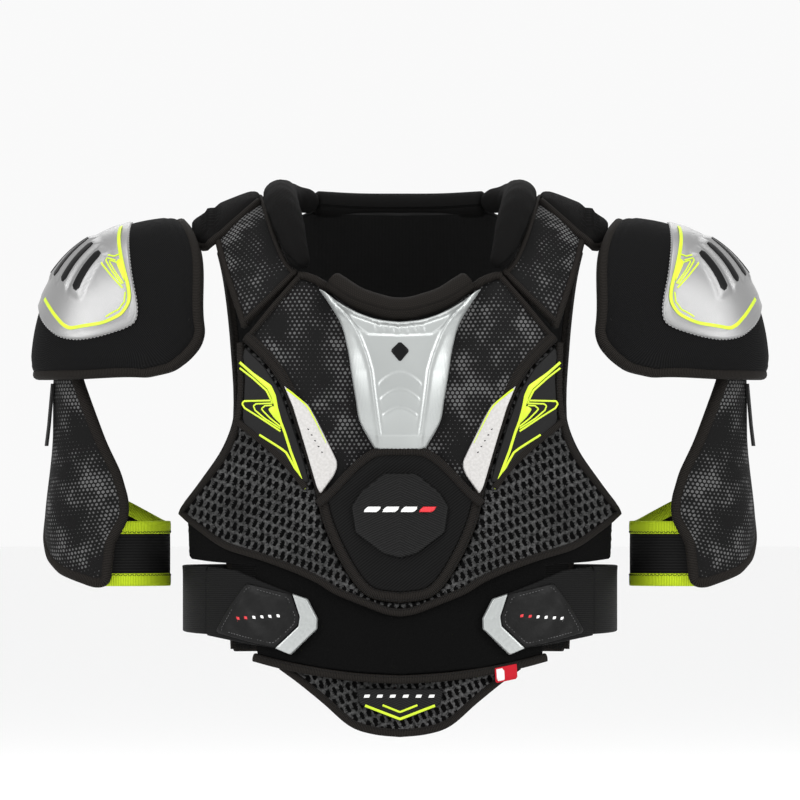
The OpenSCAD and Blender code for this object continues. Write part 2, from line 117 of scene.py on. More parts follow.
def dome(p, d):
    a, b = p[:, 0] * DEG, p[:, 1] * DEG
    c, d = np.abs(np.cos(b)) ** 0.8, np.reshape(d, (-1,))
    return columns(CAP_X + (REACH + d) * c * np.sin(a) ** 0.8, -(CAP_D + d) * np.sign(b) * np.abs(np.sin(b)) ** 0.8,
                   CAP_Z + (RISE + d) * c * np.abs(np.cos(a)) ** 0.8)


def corner(a):
    return np.interp(a, [7.9, 13.3, 24, 41.4, 60, 71.1, 78, 83.75],
                     [0.307, 0.25, 0.218, 0.2, 0.212, 0.236, 0.285, 0.36])


def on_cap(p):
    i, j = p[:, 0], p[:, 1]
    e = 7.9 + 75.85 * j
    b = i * np.arccos(corner(e) ** 1.25)
    c = np.cos(b) ** 0.8
    a = np.arcsin(np.minimum((8 + 15 * np.cos(b) ** 6) / REACH / c, 1) ** 1.25) / DEG
    z = np.arccos(np.minimum(6 / RISE / c, 1) ** 1.25) / DEG
    k = np.abs(i) ** 6
    return columns((a + (z - a) * j) * (1 - k) + e * k, b / DEG)


def cap(p, d):
    return dome(on_cap(p), d)


def guard_radius(z):
    return GUARD_R - 7 * ease((z + 212) / 85)


def front_edge(z):
    return np.interp(z, [-250, -217, -198, -184, -164, -139, -105, -91, -80],
                     [2, -2, -14.5, -14.5, -7.7, 7.8, 27, 35, 38])


def rear_edge(z):
    return np.interp(z, [-250, -214, -190, -150, -80], [96, 118, 140, 148, 142])


def low_edge(a):
    return np.interp(a, [2, 15, 50, 70, 90, 112, 140], [-249, -250, -240, -230, -214, -197, -180])


def guard(p, d):
    i, j = p[:, 0], p[:, 1]
    f, r = front_edge(GUARD_TOP - j * GUARD_H), rear_edge(GUARD_TOP - j * GUARD_H)
    a = f + 4 + (r - f - 8) * (i + 1) / 2
    return arm(columns(a, GUARD_TOP + j * (low_edge(a) + 4.5 - GUARD_TOP)), d)


def arm(p, d):
    r = guard_radius(p[:, 1]) + np.reshape(d, (-1,))
    return columns(ARM_X + r * np.sin(p[:, 0] * DEG), -r * np.cos(p[:, 0] * DEG), p[:, 1])


# ---- lines
def smooth(points, k=6):
    """A rounded line through the points, with k steps for each."""
    v = np.array(points, float)
    n, out = len(v) - 1, []
    for i in range(n):
        a, b, c, d = v[max(i - 1, 0)], v[i], v[i + 1], v[min(i + 2, n)]
        for s in range(k):
            t = s / k
            out.append(0.5 * (2 * b + (c - a) * t + (2 * a - 5 * b + 4 * c - d) * t * t
                              + (3 * b - a - 3 * c + d) * t ** 3))
    return np.array(out + [v[n]])


def whole(points):
    """A line given from the middle outwards, made whole across the middle."""
    v = np.array(points, float)
    return np.concatenate([v[:0:-1] * [-1, 1], v])


def lengths(line):
    """How far along the line each of its points is."""
    return np.concatenate([[0], np.cumsum(np.linalg.norm(np.diff(line, axis=0), axis=1))])


def sample(line, along, at):
    return np.stack([np.interp(at, along, line[:, k]) for k in range(line.shape[1])], 1)


def closed(line):
    return np.concatenate([line, line[:1]])


def spaced(line, step, loop=False):
    """Points about a step apart along the line."""
    v = closed(line) if loop else np.array(line, float)
    along = lengths(v)
    out = sample(v, along, np.linspace(0, along[-1], max(2, int(math.ceil(along[-1] / step))) + 1))
    return out[:-1] if loop else out


def beside(line, w):
    """The line moved sideways by w."""
    v = np.array(line, float)
    t = np.gradient(v, axis=0)
    return v + w * columns(-t[:, 1], t[:, 0]) / np.linalg.norm(t, axis=1, keepdims=True)


def between(line, other):
    """The outline of what lies between two lines that run the same way."""
    return np.concatenate([line, other[::-1]])


def stand(line, on, d=0.0):
    """The line at d above a surface, and the way out of the surface at each point."""
    base = on(line, d)
    return base, on(line, d + 1.0) - base


# ---- meshes
def mesh_object(name, points, faces, uv, material, body, nodes=(), mirror=1):
    me = bpy.data.meshes.new(name)
    me.from_pydata((np.asarray(points) * [mirror, 1, 1] * MM).tolist(), [], turn(points * [mirror, 1, 1], faces))
    me.update()
    index = np.zeros(len(me.loops), int)
    me.loops.foreach_get("vertex_index", index)
    flat = (np.asarray(uv)[index] * MM).astype(np.float32)
    me.uv_layers.new(name="cut").data.foreach_set("uv", flat.ravel())
    me.polygons.foreach_set("use_smooth", [True] * len(me.polygons))
    me.materials.append(M[material])
    ob = bpy.data.objects.new(name, me)
    bpy.context.scene.collection.objects.link(ob)
    if nodes:
        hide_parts(*nodes)
    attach(ob, body)
    return ob


def turn(points, faces):
    """Faces turned so that a closed mesh has its normals outwards."""
    a, b, c = (points[list(k)] for k in zip(*((f[0], f[i], f[i + 1]) for f in faces for i in range(1, len(f) - 1))))
    return faces if (a * np.cross(b, c)).sum() > 0 else [f[::-1] for f in faces]


def edge_distance(points, poly):
    ab, best = np.roll(poly, -1, axis=0) - poly, np.full(len(points), 1e9)
    length = np.maximum((ab ** 2).sum(1), 1e-12)
    for k in range(0, len(points), 2000):
        away_by = points[k:k + 2000, None, :] - poly
        t = np.clip((away_by * ab).sum(2) / length, 0, 1)
        best[k:k + 2000] = np.sqrt(((away_by - t[:, :, None] * ab) ** 2).sum(2)).min(1)
    return best


def is_inside(points, poly):
    x, y = points[:, 0], points[:, 1]
    hit = np.zeros(len(points), bool)
    for (x0, y0), (x1, y1) in zip(poly, np.roll(poly, -1, axis=0)):
        if y1 != y0:
            hit ^= ((y0 > y) != (y1 > y)) & (x < (x1 - x0) * (y - y0) / (y1 - y0) + x0)
    return hit


def fill(outline, step, rings):
    """Triangles that fill an outline, with rows of points close inside its edge."""
    edge = spaced(outline, min(step, 2.6), True)
    if (edge[:, 0] * np.roll(edge[:, 1], -1) - np.roll(edge[:, 0], -1) * edge[:, 1]).sum() < 0:
        edge = edge[::-1]
    t = np.roll(edge, -1, axis=0) - np.roll(edge, 1, axis=0)
    inward = columns(-t[:, 1], t[:, 0]) / np.linalg.norm(t, axis=1, keepdims=True)
    inner = []
    for r in rings:
        ring = edge + inward * r
        ok = is_inside(ring, edge)
        ok[ok] = edge_distance(ring[ok], edge) > r * 0.97
        inner.append(ring[ok])
    lo, hi = edge.min(0), edge.max(0)
    grid = np.array([[x + (i % 2) * step / 2, y] for i, y in enumerate(np.arange(lo[1], hi[1], step * 0.866))
                     for x in np.arange(lo[0], hi[0], step)])
    grid = grid[is_inside(grid, edge)]
    grid = grid[edge_distance(grid, edge) > rings[-1] + step * 0.55]
    points = np.concatenate([edge, *inner, grid])
    out = geometry.delaunay_2d_cdt([Vector(p) for p in points], [], [list(range(len(edge)))], 1, 1e-6)
    return np.array([tuple(v) for v in out[0]]), [tuple(f) for f in out[2]], edge


def rounded(dist, edge):
    """A quarter round's height, 0 to 1, at a distance from the edge."""
    return np.sqrt(np.clip(1 - (1 - np.minimum(dist / edge, 1)) ** 2, 0, 1))


def pad(name, outline, on, low, high, material, body, nodes=(), round_by=3.0, step=5.0, crown=0.0, reach=30.0,
        shape=None, fillness=None, slot=None, mirror=1, fine_edge=True):
    """A padded piece: flat at low, rounded at its edges and crowned at high, bent onto a surface."""
    rings = [round_by * k for k in ((0.12, 0.35, 0.7, 1.05) if fine_edge else (0.4, 1.0))]
    p, tris, edge = fill(outline, step, rings)
    dist = edge_distance(p, edge)
    h = low + (high - low) * (0.25 + 0.75 * rounded(dist, round_by)) + crown * (1 - np.exp(-(dist / reach) ** 1.5))
    if shape is not None:
        h = h + shape(p, dist)
    sides = {(f[i], f[(i + 1) % 3]): 1 for f in tris for i in range(3)}
    n, border = len(p), [k for k in sides if (k[1], k[0]) not in sides]
    faces = (list(tris) + [(f[2] + n, f[1] + n, f[0] + n) for f in tris]
             + [(b, a, a + n, b + n) for a, b in border])
    return mesh_object(name, np.concatenate([on(p, h), on(p, float(low))]), faces, np.concatenate([p, p]), material,
                       body, nodes, mirror)


def at_front(name, outline, low, high, material, nodes=(), body="chest", **more):
    return pad(name, outline, front, low, high, material, body, nodes, **more)


def mark(name, outline, low, high, material, slot, **more):
    """A small printed or moulded mark, which needs no fine edge."""
    return at_front(name, outline, low, high, material, slot=slot, round_by=0.3, fine_edge=False, **more)


def length_of(line, on, d=0.0):
    return float(lengths(on(spaced(line, 2.0), d))[-1])


def tube_faces(n, m, loop=False):
    """Faces between n rings of m points each, with caps unless the rings close into a loop."""
    faces = [(a * m + i, (a + 1) % n * m + i, (a + 1) % n * m + (i + 1) % m, a * m + (i + 1) % m)
             for a in range(n if loop else n - 1) for i in range(m)]
    return faces if loop else faces + [tuple(range(m)), tuple(range((n - 1) * m, n * m))[::-1]]


def sweep(name, base, up, section, material, body, nodes=(), loop=False, mirror=1, taper=None):
    """A strip with a section of [sideways, above the surface] along points of a surface."""
    up = unit(up)
    t = np.roll(base, -1, 0) - np.roll(base, 1, 0) if loop else np.gradient(base, axis=0)
    b = unit(np.cross(t, up))
    section, n = np.array(section, float), len(base)
    w = np.ones(n) if taper is None else taper
    points = (base[:, None, :] + b[:, None, :] * (section[None, :, 0, None] * w[:, None, None])
              + up[:, None, :] * section[None, :, 1, None]).reshape(-1, 3)
    uv = columns(np.repeat(lengths(base), len(section)), np.tile(lengths(section), n))
    return mesh_object(name, points, tube_faces(n, len(section), loop), uv, material, body, nodes, mirror)


def tape(name, line, on, half, low, high, body, nodes=(), mirror=1):
    """Ribbed binding, rounded above, along a line on a surface."""
    t = np.linspace(0, math.pi, 9)
    top = [(half * math.cos(a), low + (high - low) * (0.35 + 0.65 * abs(math.sin(a)) ** 0.6)) for a in t]
    base, up = stand(spaced(line, 2.2), on)
    return sweep(name, base, up, [(half, low)] + top + [(-half, low)], "binding", body, nodes, mirror=mirror)


def stripe(name, line, wide, d, body, on=front, mirror=1, taper=None):
    """A thin bright line printed on a surface."""
    v = spaced(line, 0.8)
    base, up = stand(v, on, float(d))
    w = wide / 2
    section = [(w, -0.3), (w, 0.12), (w * 0.8, 0.3), (-w * 0.8, 0.3), (-w, 0.12), (-w, -0.3)]
    return sweep(name, base, up, section, "lime", body, mirror=mirror,
                 taper=taper and taper(np.linspace(0, 1, len(v))))


STITCH = {}


def stitches(line, on, d, body, pitch=3.1, long=2.1, thick=0.34, mirror=1, material="thread", zigzag=0.0):
    """A row of stitches along a line, gathered into one mesh for each body later."""
    base, up = stand(spaced(line, 0.5), on, float(d))
    along = lengths(base)
    n = int(along[-1] / pitch)
    at = (np.arange(n) + 0.5) * along[-1] / max(n, 1)
    c = sample(base, along, at)
    u = unit(sample(unit(up), along, at))
    t = unit(sample(base, along, at + 0.4) - c)
    if zigzag:
        t = unit(t + np.cross(t, u) * (zigzag * (-1) ** np.arange(n))[:, None])
    row = (c * [mirror, 1, 1], t * [mirror, 1, 1], u * [mirror, 1, 1], long, thick)
    STITCH.setdefault((body, material), []).append(row)


def make_stitches():
    """Each stitch is a short six-sided thread that sinks in at both ends."""
    rings = [(-0.5, 0.25, -0.5), (-0.36, 0.85, 0.1), (0.0, 1.0, 0.35), (0.36, 0.85, 0.1), (0.5, 0.25, -0.5)]
    for body, material in sorted(STITCH):
        points, faces = [], []
        for centres, ways, ups, long, thick in STITCH[body, material]:
            for c, t, u in zip(centres, ways, ups):
                side, k = np.cross(t, u), len(points)
                points += [c + t * along * long + side * math.cos(q * math.pi / 3) * wide * thick
                           + u * (math.sin(q * math.pi / 3) * wide + lift) * thick
                           for along, wide, lift in rings for q in range(6)]
                faces += [(a, b, b + 6, a + 6) for r in range(4)
                          for a, b in ((k + r * 6 + q, k + r * 6 + (q + 1) % 6) for q in range(6))]
                faces += [tuple(k + q for q in range(6))[::-1], tuple(k + 24 + q for q in range(6))]
        points = np.array(points)
        mesh_object("stitching_%s_%s" % (material, body), points, faces, points[:, [0, 2]], material, body)


# ---- materials
class Nodes:
    """Short words for building a material's nodes. Lengths in the flat pattern are metres, pitches millimetres."""

    def __init__(self, name, slot=None):
        self.m = bpy.data.materials.new(name)
        self.m["slot"], self.m["key"] = slot or name, name
        self.m.use_nodes = True
        self.t = self.m.node_tree
        self.bsdf = self.t.nodes["Principled BSDF"]
        uv = self.t.nodes.new("ShaderNodeUVMap")
        uv.uv_map = "cut"
        self.uv = uv.outputs[0]
        self.u, self.v = self.part(self.uv, 0), self.part(self.uv, 1)
        self.last_bump = None

    def put(self, socket, value):
        if isinstance(value, bpy.types.NodeSocket):
            self.t.links.new(value, socket)
        else:
            socket.default_value = value

    def new(self, kind, **values):
        """A node, with values for its inputs by name; an underscore stands for a space."""
        n = self.t.nodes.new("ShaderNode" + kind)
        for name, value in values.items():
            self.put(n.inputs[name.replace("_", " ")], value)
        return n

    def math(self, op, *args, clamp=False):
        n = self.new("Math")
        n.operation, n.use_clamp = op, clamp
        for s, a in zip(n.inputs, args):
            self.put(s, a)
        return n.outputs[0]

    def times(self, a, b):
        return self.math("MULTIPLY", a, b)

    def vec(self, op, *args):
        n = self.new("VectorMath")
        n.operation = op
        for i, a in enumerate(args):
            self.put(n.inputs[3 if op == "SCALE" and i == 1 else i], a)
        return n.outputs[1 if op == "DOT_PRODUCT" else 0]

    def noise(self, scale, detail=2.0, rough=0.5, distortion=0.0, vector=None):
        return self.new("TexNoise", Scale=scale, Detail=detail, Roughness=rough, Distortion=distortion,
                        Vector=vector or self.uv).outputs["Fac"]

    def part(self, vector, k):
        return self.new("SeparateXYZ", Vector=vector).outputs[k]

    def ramp(self, value, *stops):
        n = self.new("ValToRGB")
        for el, (at, colour) in zip(n.color_ramp.elements, stops):
            el.position = at
            el.color = (*colour, 1) if isinstance(colour, tuple) else (colour, colour, colour, 1)
        self.put(n.inputs[0], value)
        return n.outputs[0]

    def mix(self, fac, a, b, kind="RGBA", first=6, out=2):
        n = self.new("Mix")
        n.data_type = kind
        self.put(n.inputs[0], fac)
        for k, v in enumerate((a, b)):
            self.put(n.inputs[first + k], (*v, 1) if isinstance(v, tuple) else v)
        return n.outputs[out]

    def wave(self, value, pitch_mm):
        """Smooth ridges, 0 to 1, every pitch_mm along a length in metres."""
        return self.math("MULTIPLY_ADD", self.math("SINE", self.times(value, 2 * math.pi / (pitch_mm * MM))), 0.5, 0.5)

    def ribs(self, degrees, pitch_mm, axis=0):
        """Ridges at an angle on the flat pattern."""
        turned = self.new("Mapping", Rotation=(0, 0, degrees * DEG), Vector=self.uv).outputs[0]
        return self.wave(self.part(turned, axis), pitch_mm)

    def bump(self, height, mm, strength=1.0):
        n = self.new("Bump", Distance=mm * MM, Strength=strength, Height=height)
        if self.last_bump:
            self.put(n.inputs["Normal"], self.last_bump)
        self.last_bump = n.outputs[0]
        self.put(self.bsdf.inputs["Normal"], n.outputs[0])

    def done(self, colour, rough, metallic=0.0, coat=0.0, coat_rough=0.2, specular=0.5):
        for name, value in (("Base Color", (*colour, 1) if isinstance(colour, tuple) else colour), ("Roughness", rough),
                            ("Metallic", metallic), ("Coat Weight", coat), ("Coat Roughness", coat_rough),
                            ("Specular IOR Level", specular)):
            self.put(self.bsdf.inputs[name], value)
        return self.m


def scaled(colour, k):
    return tuple(min(k * c, 1) for c in colour)


def shades(colour, dark, light=1.0):
    return (0.3, scaled(colour, dark)), (0.7, scaled(colour, light))


def hex_cells(n, pitch_mm):
    """Distance from the middle of a hexagonal lattice's cells, 0 to 0.5 of the pitch, and the cell's own place."""
    far = (100.0, 173.205, 0.0)  # keeps every place positive, where MODULO works
    period, half = (1.0, 1.7320508, 1.0), (0.5, 0.8660254, 0.0)
    p = n.vec("ADD", n.vec("SCALE", n.uv, 1 / (pitch_mm * MM)), far)
    a = n.vec("SUBTRACT", n.vec("MODULO", p, period), half)
    b = n.vec("SUBTRACT", n.vec("MODULO", n.vec("SUBTRACT", p, half), period), half)
    nearer = n.math("LESS_THAN", n.vec("DOT_PRODUCT", a, a), n.vec("DOT_PRODUCT", b, b))
    g = n.mix(nearer, b, a, "VECTOR", 4, 1)
    flat = n.vec("MULTIPLY", n.vec("ABSOLUTE", g), (1.0, 1.0, 0.0))
    d = n.math("MAXIMUM", n.vec("DOT_PRODUCT", flat, half), n.part(flat, 0))
    return d, n.vec("SCALE", n.vec("SUBTRACT", n.vec("SUBTRACT", p, g), far), pitch_mm * MM)


def printed_fabric(n):
    """A halftone of hexagons: each one's size comes from broad and small patches of noise."""
    d, cell = hex_cells(n, 3.5)
    flat_cell = n.vec("MULTIPLY", cell, (1.0, 1.0, 0.0))
    patch = n.noise(26.0, 3.0, 0.62, vector=flat_cell)
    small = n.noise(70.0, 2.0, 0.6, vector=n.vec("ADD", flat_cell, (3.1, 1.7, 0.0)))
    size = n.math("MULTIPLY_ADD", n.math("SUBTRACT", patch, 0.36), 1.5, n.times(n.math("SUBTRACT", small, 0.5), 0.3))
    size = n.math("MINIMUM", n.math("MAXIMUM", size, 0.0), 0.37)
    dot = n.math("MULTIPLY", n.math("SUBTRACT", size, d), 14.0, clamp=True)
    ground = n.ramp(n.noise(9.0), (0.3, 0.0028), (0.7, 0.0046))
    return n.mix(dot, ground, n.ramp(patch, (0.35, 0.016), (0.62, 0.085))), n.math("MULTIPLY_ADD", dot, -0.12, 0.72)


def binding(n):
    colour = n.ramp(n.ribs(0, 1.25), (0.1, (0.0030, 0.0026, 0.0022)), (0.9, (0.0165, 0.0140, 0.0120)))
    return n.mix(n.times(n.noise(900.0), 0.35), colour, (0.0065, 0.0055, 0.0048)), 0.78


def silver_plate(n):
    tone = n.ramp(n.noise(14.0), *shades((0.33, 0.345, 0.34), 0.93, 1.06))
    return tone, n.math("MULTIPLY_ADD", n.noise(40.0, 3.0), 0.12, 0.24)


def badge_rubber(n):
    """Ridges that follow a shallow V and waver a little."""
    bent = n.math("ADD", n.v, n.times(n.math("ABSOLUTE", n.u), 0.45))
    return n.wave(n.math("ADD", bent, n.times(n.noise(60.0, 1.0), 0.0016)), 1.9)


def spacer_mesh(n):
    fine = n.ramp(n.noise(420.0, 2.0, 0.6), (0.35, 0.008), (0.65, 0.075))
    return n.mix(n.ramp(n.noise(20.0), (0.35, 0.0), (0.65, 0.55)), fine, (0.0070, 0.0072, 0.0068)), 0.7


def noise(*args):
    return lambda n: n.noise(*args)


def ribs(degrees, pitch, axis=0):
    return lambda n: n.ribs(degrees, pitch, axis)


def grid(pitch_u, pitch_v=None):
    return lambda n: n.times(n.ribs(0, pitch_u), n.ribs(0, pitch_v or pitch_u, 1))


def cells(pitch):
    return lambda n: hex_cells(n, pitch)[0]


M = {}


def material(name, look, bumps, rough=0.5, slot=None, **more):
    """look is a function that makes colour and roughness, or (pattern, stop, stop) for a ramp, or one plain colour.
    bumps are (pattern, depth in mm, strength)."""
    n = Nodes(name, slot)
    for height, mm, strength in bumps:
        n.bump(height(n), mm, strength)
    if callable(look):
        look, rough = look(n)
    elif callable(look[0]):
        look = n.ramp(look[0](n), *look[1:])
    M[name] = n.done(look, rough, **more)


def knit(name, colour, pitch, angle):
    rib = ribs(angle, pitch, 1)
    material(name, (rib, (0.1, scaled(colour, 0.45)), (0.9, colour)),
             [(rib, 0.28, 0.85), (lambda n: n.times(n.ribs(angle, pitch * 0.8), rib(n)), 0.12, 0.6),
              (noise(55.0), 0.4, 0.3)], 0.85, "knit", specular=0.06)


def elastic(name, dark, light, pitch):
    rib = ribs(0, pitch, 1)
    material(name, (rib, (0.1, dark), (0.9, light)), [(rib, 0.2, 0.8), (grid(0.9, 0.75), 0.15, 0.6)], 0.7,
             specular=0.07)


def plain_fabric(name, dark, light, slot=None, pitch=0.5, depth_mm=0.05):
    material(name, (grid(pitch), (0.0, dark), (1.0, light)),
             [(grid(pitch), depth_mm, 0.8), (noise(90.0, 3.0), 0.4, 0.3)], 0.78, slot, specular=0.12)


def moulded(name, colour, slot=None, rough=0.5, specular=0.25):
    material(name, (noise(30.0), *shades(colour, 0.85)), [(noise(600.0, 3.0), 0.06, 0.6)], rough, slot,
             specular=specular)


material("printed_fabric", printed_fabric, [(grid(0.9), 0.12, 0.6), (noise(160.0), 0.25, 0.35)], specular=0.09)
material("binding", binding, [(ribs(0, 1.25), 0.45, 0.9), (ribs(0, 0.8, 1), 0.1, 0.5)], specular=0.1)
material("silver_plate", silver_plate, [(noise(1500.0), 0.03, 0.3)], metallic=0.45, coat=0.25, coat_rough=0.3)
material("silver_print", (ribs(38, 0.9), (0.0, 0.22), (1.0, 0.29)),
         [(ribs(38, 0.9), 0.08, 0.7), (noise(700.0), 0.04, 0.4)], 0.36, "silver_plate", metallic=0.75, coat=0.1)
material("silver_wedge", (noise(500.0), (0.3, (0.37, 0.36, 0.35)), (0.7, (0.46, 0.45, 0.44))),
         [(ribs(62, 0.8), 0.08, 0.7)], 0.42, metallic=0.15, coat=0.15)
material("twill", (ribs(52, 1.9), (0.1, 0.0012), (0.9, 0.0048)),
         [(ribs(52, 1.9), 0.3, 0.9), (ribs(-38, 0.8), 0.08, 0.5)], 0.6, specular=0.07)
material("badge_rubber", (badge_rubber, (0.1, 0.0025), (0.9, 0.0085)), [(badge_rubber, 0.35, 0.9)], specular=0.12)
material("spacer_mesh", spacer_mesh,
         [(noise(1400.0), 0.15, 0.8), (lambda n: n.wave(n.math("ADD", n.u, n.v), 0.7), 0.12, 0.6)], specular=0.07)
# A darker copy of the spacer mesh: painted shade for the bottoms of its holes.
material("mesh_dark", (0.0015, 0.0015, 0.0015), [(noise(900.0), 0.1, 0.5)], 0.85, "spacer_mesh", specular=0.03)
material("grey_mesh", (grid(0.7), (0.0, 0.007), (1.0, 0.020)), [(grid(0.7), 0.1, 0.8)], 0.55, specular=0.08)
material("loop_fabric", (noise(1500.0, 3.0, 0.7), (0.3, 0.0010), (0.75, 0.0052)),
         [(noise(260.0, 5.0, 0.75), 1.1, 0.9), (noise(1500.0, 3.0, 0.7), 0.3, 0.8)], 0.95, specular=0.04)
material("tab_gloss", (noise(120.0), (0.3, 0.0025), (0.7, 0.0050)),
         [(noise(75.0, 3.0, 0.55, 0.6), 1.1, 0.55), (cells(1.3), 0.1, 0.6)], 0.42, coat=0.02, coat_rough=0.3,
         specular=0.12)
material("knit_roll", (cells(1.7), (0.12, (0.0150, 0.0125, 0.0105)), (0.48, (0.0022, 0.0019, 0.0016))),
         [(cells(1.7), 0.55, 1.0), (noise(900.0), 0.1, 0.5)], 0.8, "knit", specular=0.1)
material("lining", (cells(3.2), (0.16, 0.003), (0.34, 0.016)), [(cells(3.2), 0.5, 0.9), (noise(800.0), 0.1, 0.4)], 0.85,
         specular=0.12)
material("lime", (noise(60.0), (0.3, (0.40, 0.53, 0.012)), (0.7, (0.50, 0.64, 0.018))),
         [(ribs(0, 0.9), 0.05, 0.5)], 0.42, "band_elastic", specular=0.4)
material("lime_knit", (ribs(0, 1.3), (0.05, (0.24, 0.34, 0.006)), (0.8, (0.46, 0.60, 0.016))),
         [(ribs(0, 1.3), 0.3, 0.9), (ribs(0, 1.1, 1), 0.1, 0.5)], 0.7, "band_elastic", specular=0.15)
material("floor_pale", (0.96, 0.96, 0.96), (), 0.9, "floor", specular=0.05)
knit("knit", (0.0062, 0.0062, 0.0064), 1.15, 28)
knit("collar_knit", (0.0058, 0.0056, 0.0055), 0.9, 0)
elastic("elastic", 0.0026, 0.0085, 1.5)
elastic("band_elastic", 0.0022, 0.0075, 2.2)
moulded("hard_insert", (0.012, 0.0125, 0.0135))
moulded("hanger_plastic", (0.03, 0.032, 0.034))
moulded("ink_black", (0.0025, 0.0025, 0.0027), "badge_rubber", 0.45, 0.12)
moulded("ink_white", (0.75, 0.75, 0.74), "tag_fabric", specular=0.5)
moulded("ink_red", (0.55, 0.012, 0.02), "tag_fabric", specular=0.5)
plain_fabric("back_fabric", 0.003, 0.010, None, 1.1, 0.15)
plain_fabric("webbing", 0.008, 0.024, None, 1.6, 0.25)
plain_fabric("tag_fabric", (0.30, 0.006, 0.012), (0.55, 0.015, 0.03), None, 0.6, 0.08)
plain_fabric("tag_white", 0.55, 0.75, "tag_fabric", 0.6, 0.08)
plain_fabric("thread", 0.005, 0.016, "binding")
plain_fabric("thread_grey", 0.07, 0.14, "binding")
plain_fabric("thread_silver", 0.25, 0.42, "silver_plate")

# ---- chest
FOAM_LOW, FOAM_TOP, LOOP_TOP, TAPE_LOW, PRINT = -7.5, -1.2, -4.4, -6, 1.0  # heights above the surface

CHEST_EDGE = [(0, -260.5), (21, -257.3), (34, -247), (47.5, -225.3), (59, -199), (66.5, -169), (81, -123), (90, -98),
              (102, -79), (121, -60)]
CHEST_TOP = [(0, -45), (16, -43), (32, -37), (45, -29), (56.5, -19.5), (64.5, -12.5), (77, -8.5), (97.5, -31.5),
             (116.6, -54.7)]
edge_line = whole(smooth(CHEST_EDGE))
chest_outline = np.concatenate([whole(CHEST_TOP), beside(edge_line, 3)[::-1][2:-2]])


def bell(x, width):
    return np.exp(-(x / width) ** 2)


def chest_shape(p, dist):
    """A soft channel beside the sternum plate, where the foam is thin, and slow waves."""
    x, z = np.abs(p[:, 0]), p[:, 1]
    side = np.interp(-z, [20, 60, 90, 145, 180], [62, 44, 38, 24, 20])
    return -2.2 * bell(x - side - 3, 9) * (z > -175) + 0.5 * np.sin(x / 13) * np.sin(z / 17)


at_front("chest_panel_skin", chest_outline, FOAM_LOW, FOAM_TOP, "printed_fabric", ["chest_panel"], round_by=5,
         crown=2.2, reach=22, shape=chest_shape, fillness=0.7)
tape("chest_binding_tape", beside(edge_line, 4.6), front, 4.8, -5, 1.6, "chest", ["chest_binding"])
for w in (7.4, 1.6):
    stitches(beside(edge_line, w), front, 1.45, "chest")
LINER = [(0, -264), (30, -253), (63, -240), (92, -227), (121, -213), (150, -199), (158, -187), (150, -172),
         (128, -144), (119, -110), (121, -66)]
liner_outline = between(whole(CHEST_TOP), whole(smooth(LINER, 3)))
lining_sheet = at_front("chest_lining", liner_outline, -10.1, -8.6, "lining", ["chest_liner"], round_by=1, step=8,
                        fine_edge=False)
length_of([(-158, -187), (158, -187)], front, -8.6)

# sternum plate: a shield with two ridges, a bevelled foot and three arched ribs
PLATE_SIDE = [(19, -143.4), (30.4, -123), (34, -104), (37, -86), (40, -67), (46, -46), (62, -21)]
PLATE_TOP = [(0, -47), (17, -45), (33, -39.5), (48, -31), (62, -21)]
PLATE_LIP = [(0, -59.5), (24, -58.5), (33, -52), (40, -44), (50, -34)]
PLATE_RIDGE = [(15, -143.4), (15.5, -134), (17, -123), (19.5, -104), (22, -84), (25.5, -72), (31, -58), (38, -46),
               (52.5, -30), (60, -21)]
RIB_HEIGHTS = (-84.5, -97, -110.5)
plate_side, plate_top = smooth(PLATE_SIDE), smooth(PLATE_TOP[::-1])
plate_outline = np.concatenate([[(-19, -143.4)], [(0, -143.9)], plate_side, plate_top[1:],
                                (plate_top[::-1] * [-1, 1])[1:], (plate_side * [-1, 1])[::-1][1:-1]])


def across_at(z, points):
    return np.interp(z, *np.array(points)[:, ::-1].T)


def along_at(x, points):
    return np.interp(x, *np.array(points).T)


def plate_shape(p, dist):
    x, z = np.abs(p[:, 0]), p[:, 1]
    out, ridge = across_at(z, PLATE_SIDE), across_at(z, PLATE_RIDGE)
    facet = 7.2 * np.clip((out - x) / np.maximum(out - ridge, 1.5), 0, 1) ** 0.8
    panel = 0.84 * np.clip((ridge - x) / np.maximum(ridge, 1), 0, 1)
    foot = np.clip((z + 143.4) / 10.5, 0, 1)
    h = (facet + 1.5 * bell(x - ridge, 1.8) + panel) * (0.22 + 0.78 * foot ** 0.9)
    top, lip = along_at(x, PLATE_TOP), along_at(x, PLATE_LIP)
    h -= 1.6 * ease((z - lip) / 2.5) * (x < 50)
    h *= np.clip((top - z) / 6, 0.35, 1) ** 0.6
    for middle in RIB_HEIGHTS:
        line = middle - 0.030 * x ** 2 - 0.06 * x
        step_up = ease((line + 0.4 - z) / 2.2) * np.exp(-np.maximum(line - z, 0) / 7.5)
        h += 1.15 * step_up * ease((ridge - 3 - x) / 3)
    fine = 0.16 * np.sin((x * 0.8 + z) * 2 * math.pi / 2.3)
    h += fine * ease((x - ridge - 2) / 2) * ease((out - 2 - x) / 2) * (z < -70)
    bars = (z > lip + 3) & (z < top - 3.5) & (x < 19)
    return h + 0.55 * bars * (np.sin((p[:, 0] + (z + 50) * 0.5) * 2 * math.pi / 6.6) > -0.25)


at_front("sternum_shell", plate_outline, 0.4, 2.2, "silver_plate", ["sternum_plate"], round_by=1.6, step=1.25,
         shape=plate_shape)
DIAMOND = [(0, -62.5), (7.5, -69.5), (0, -78.5), (-7.5, -69.5)]
at_front("sternum_mark", DIAMOND, 8.6, 10.9, "ink_black", round_by=0.6, step=2, slot="badge_rubber")

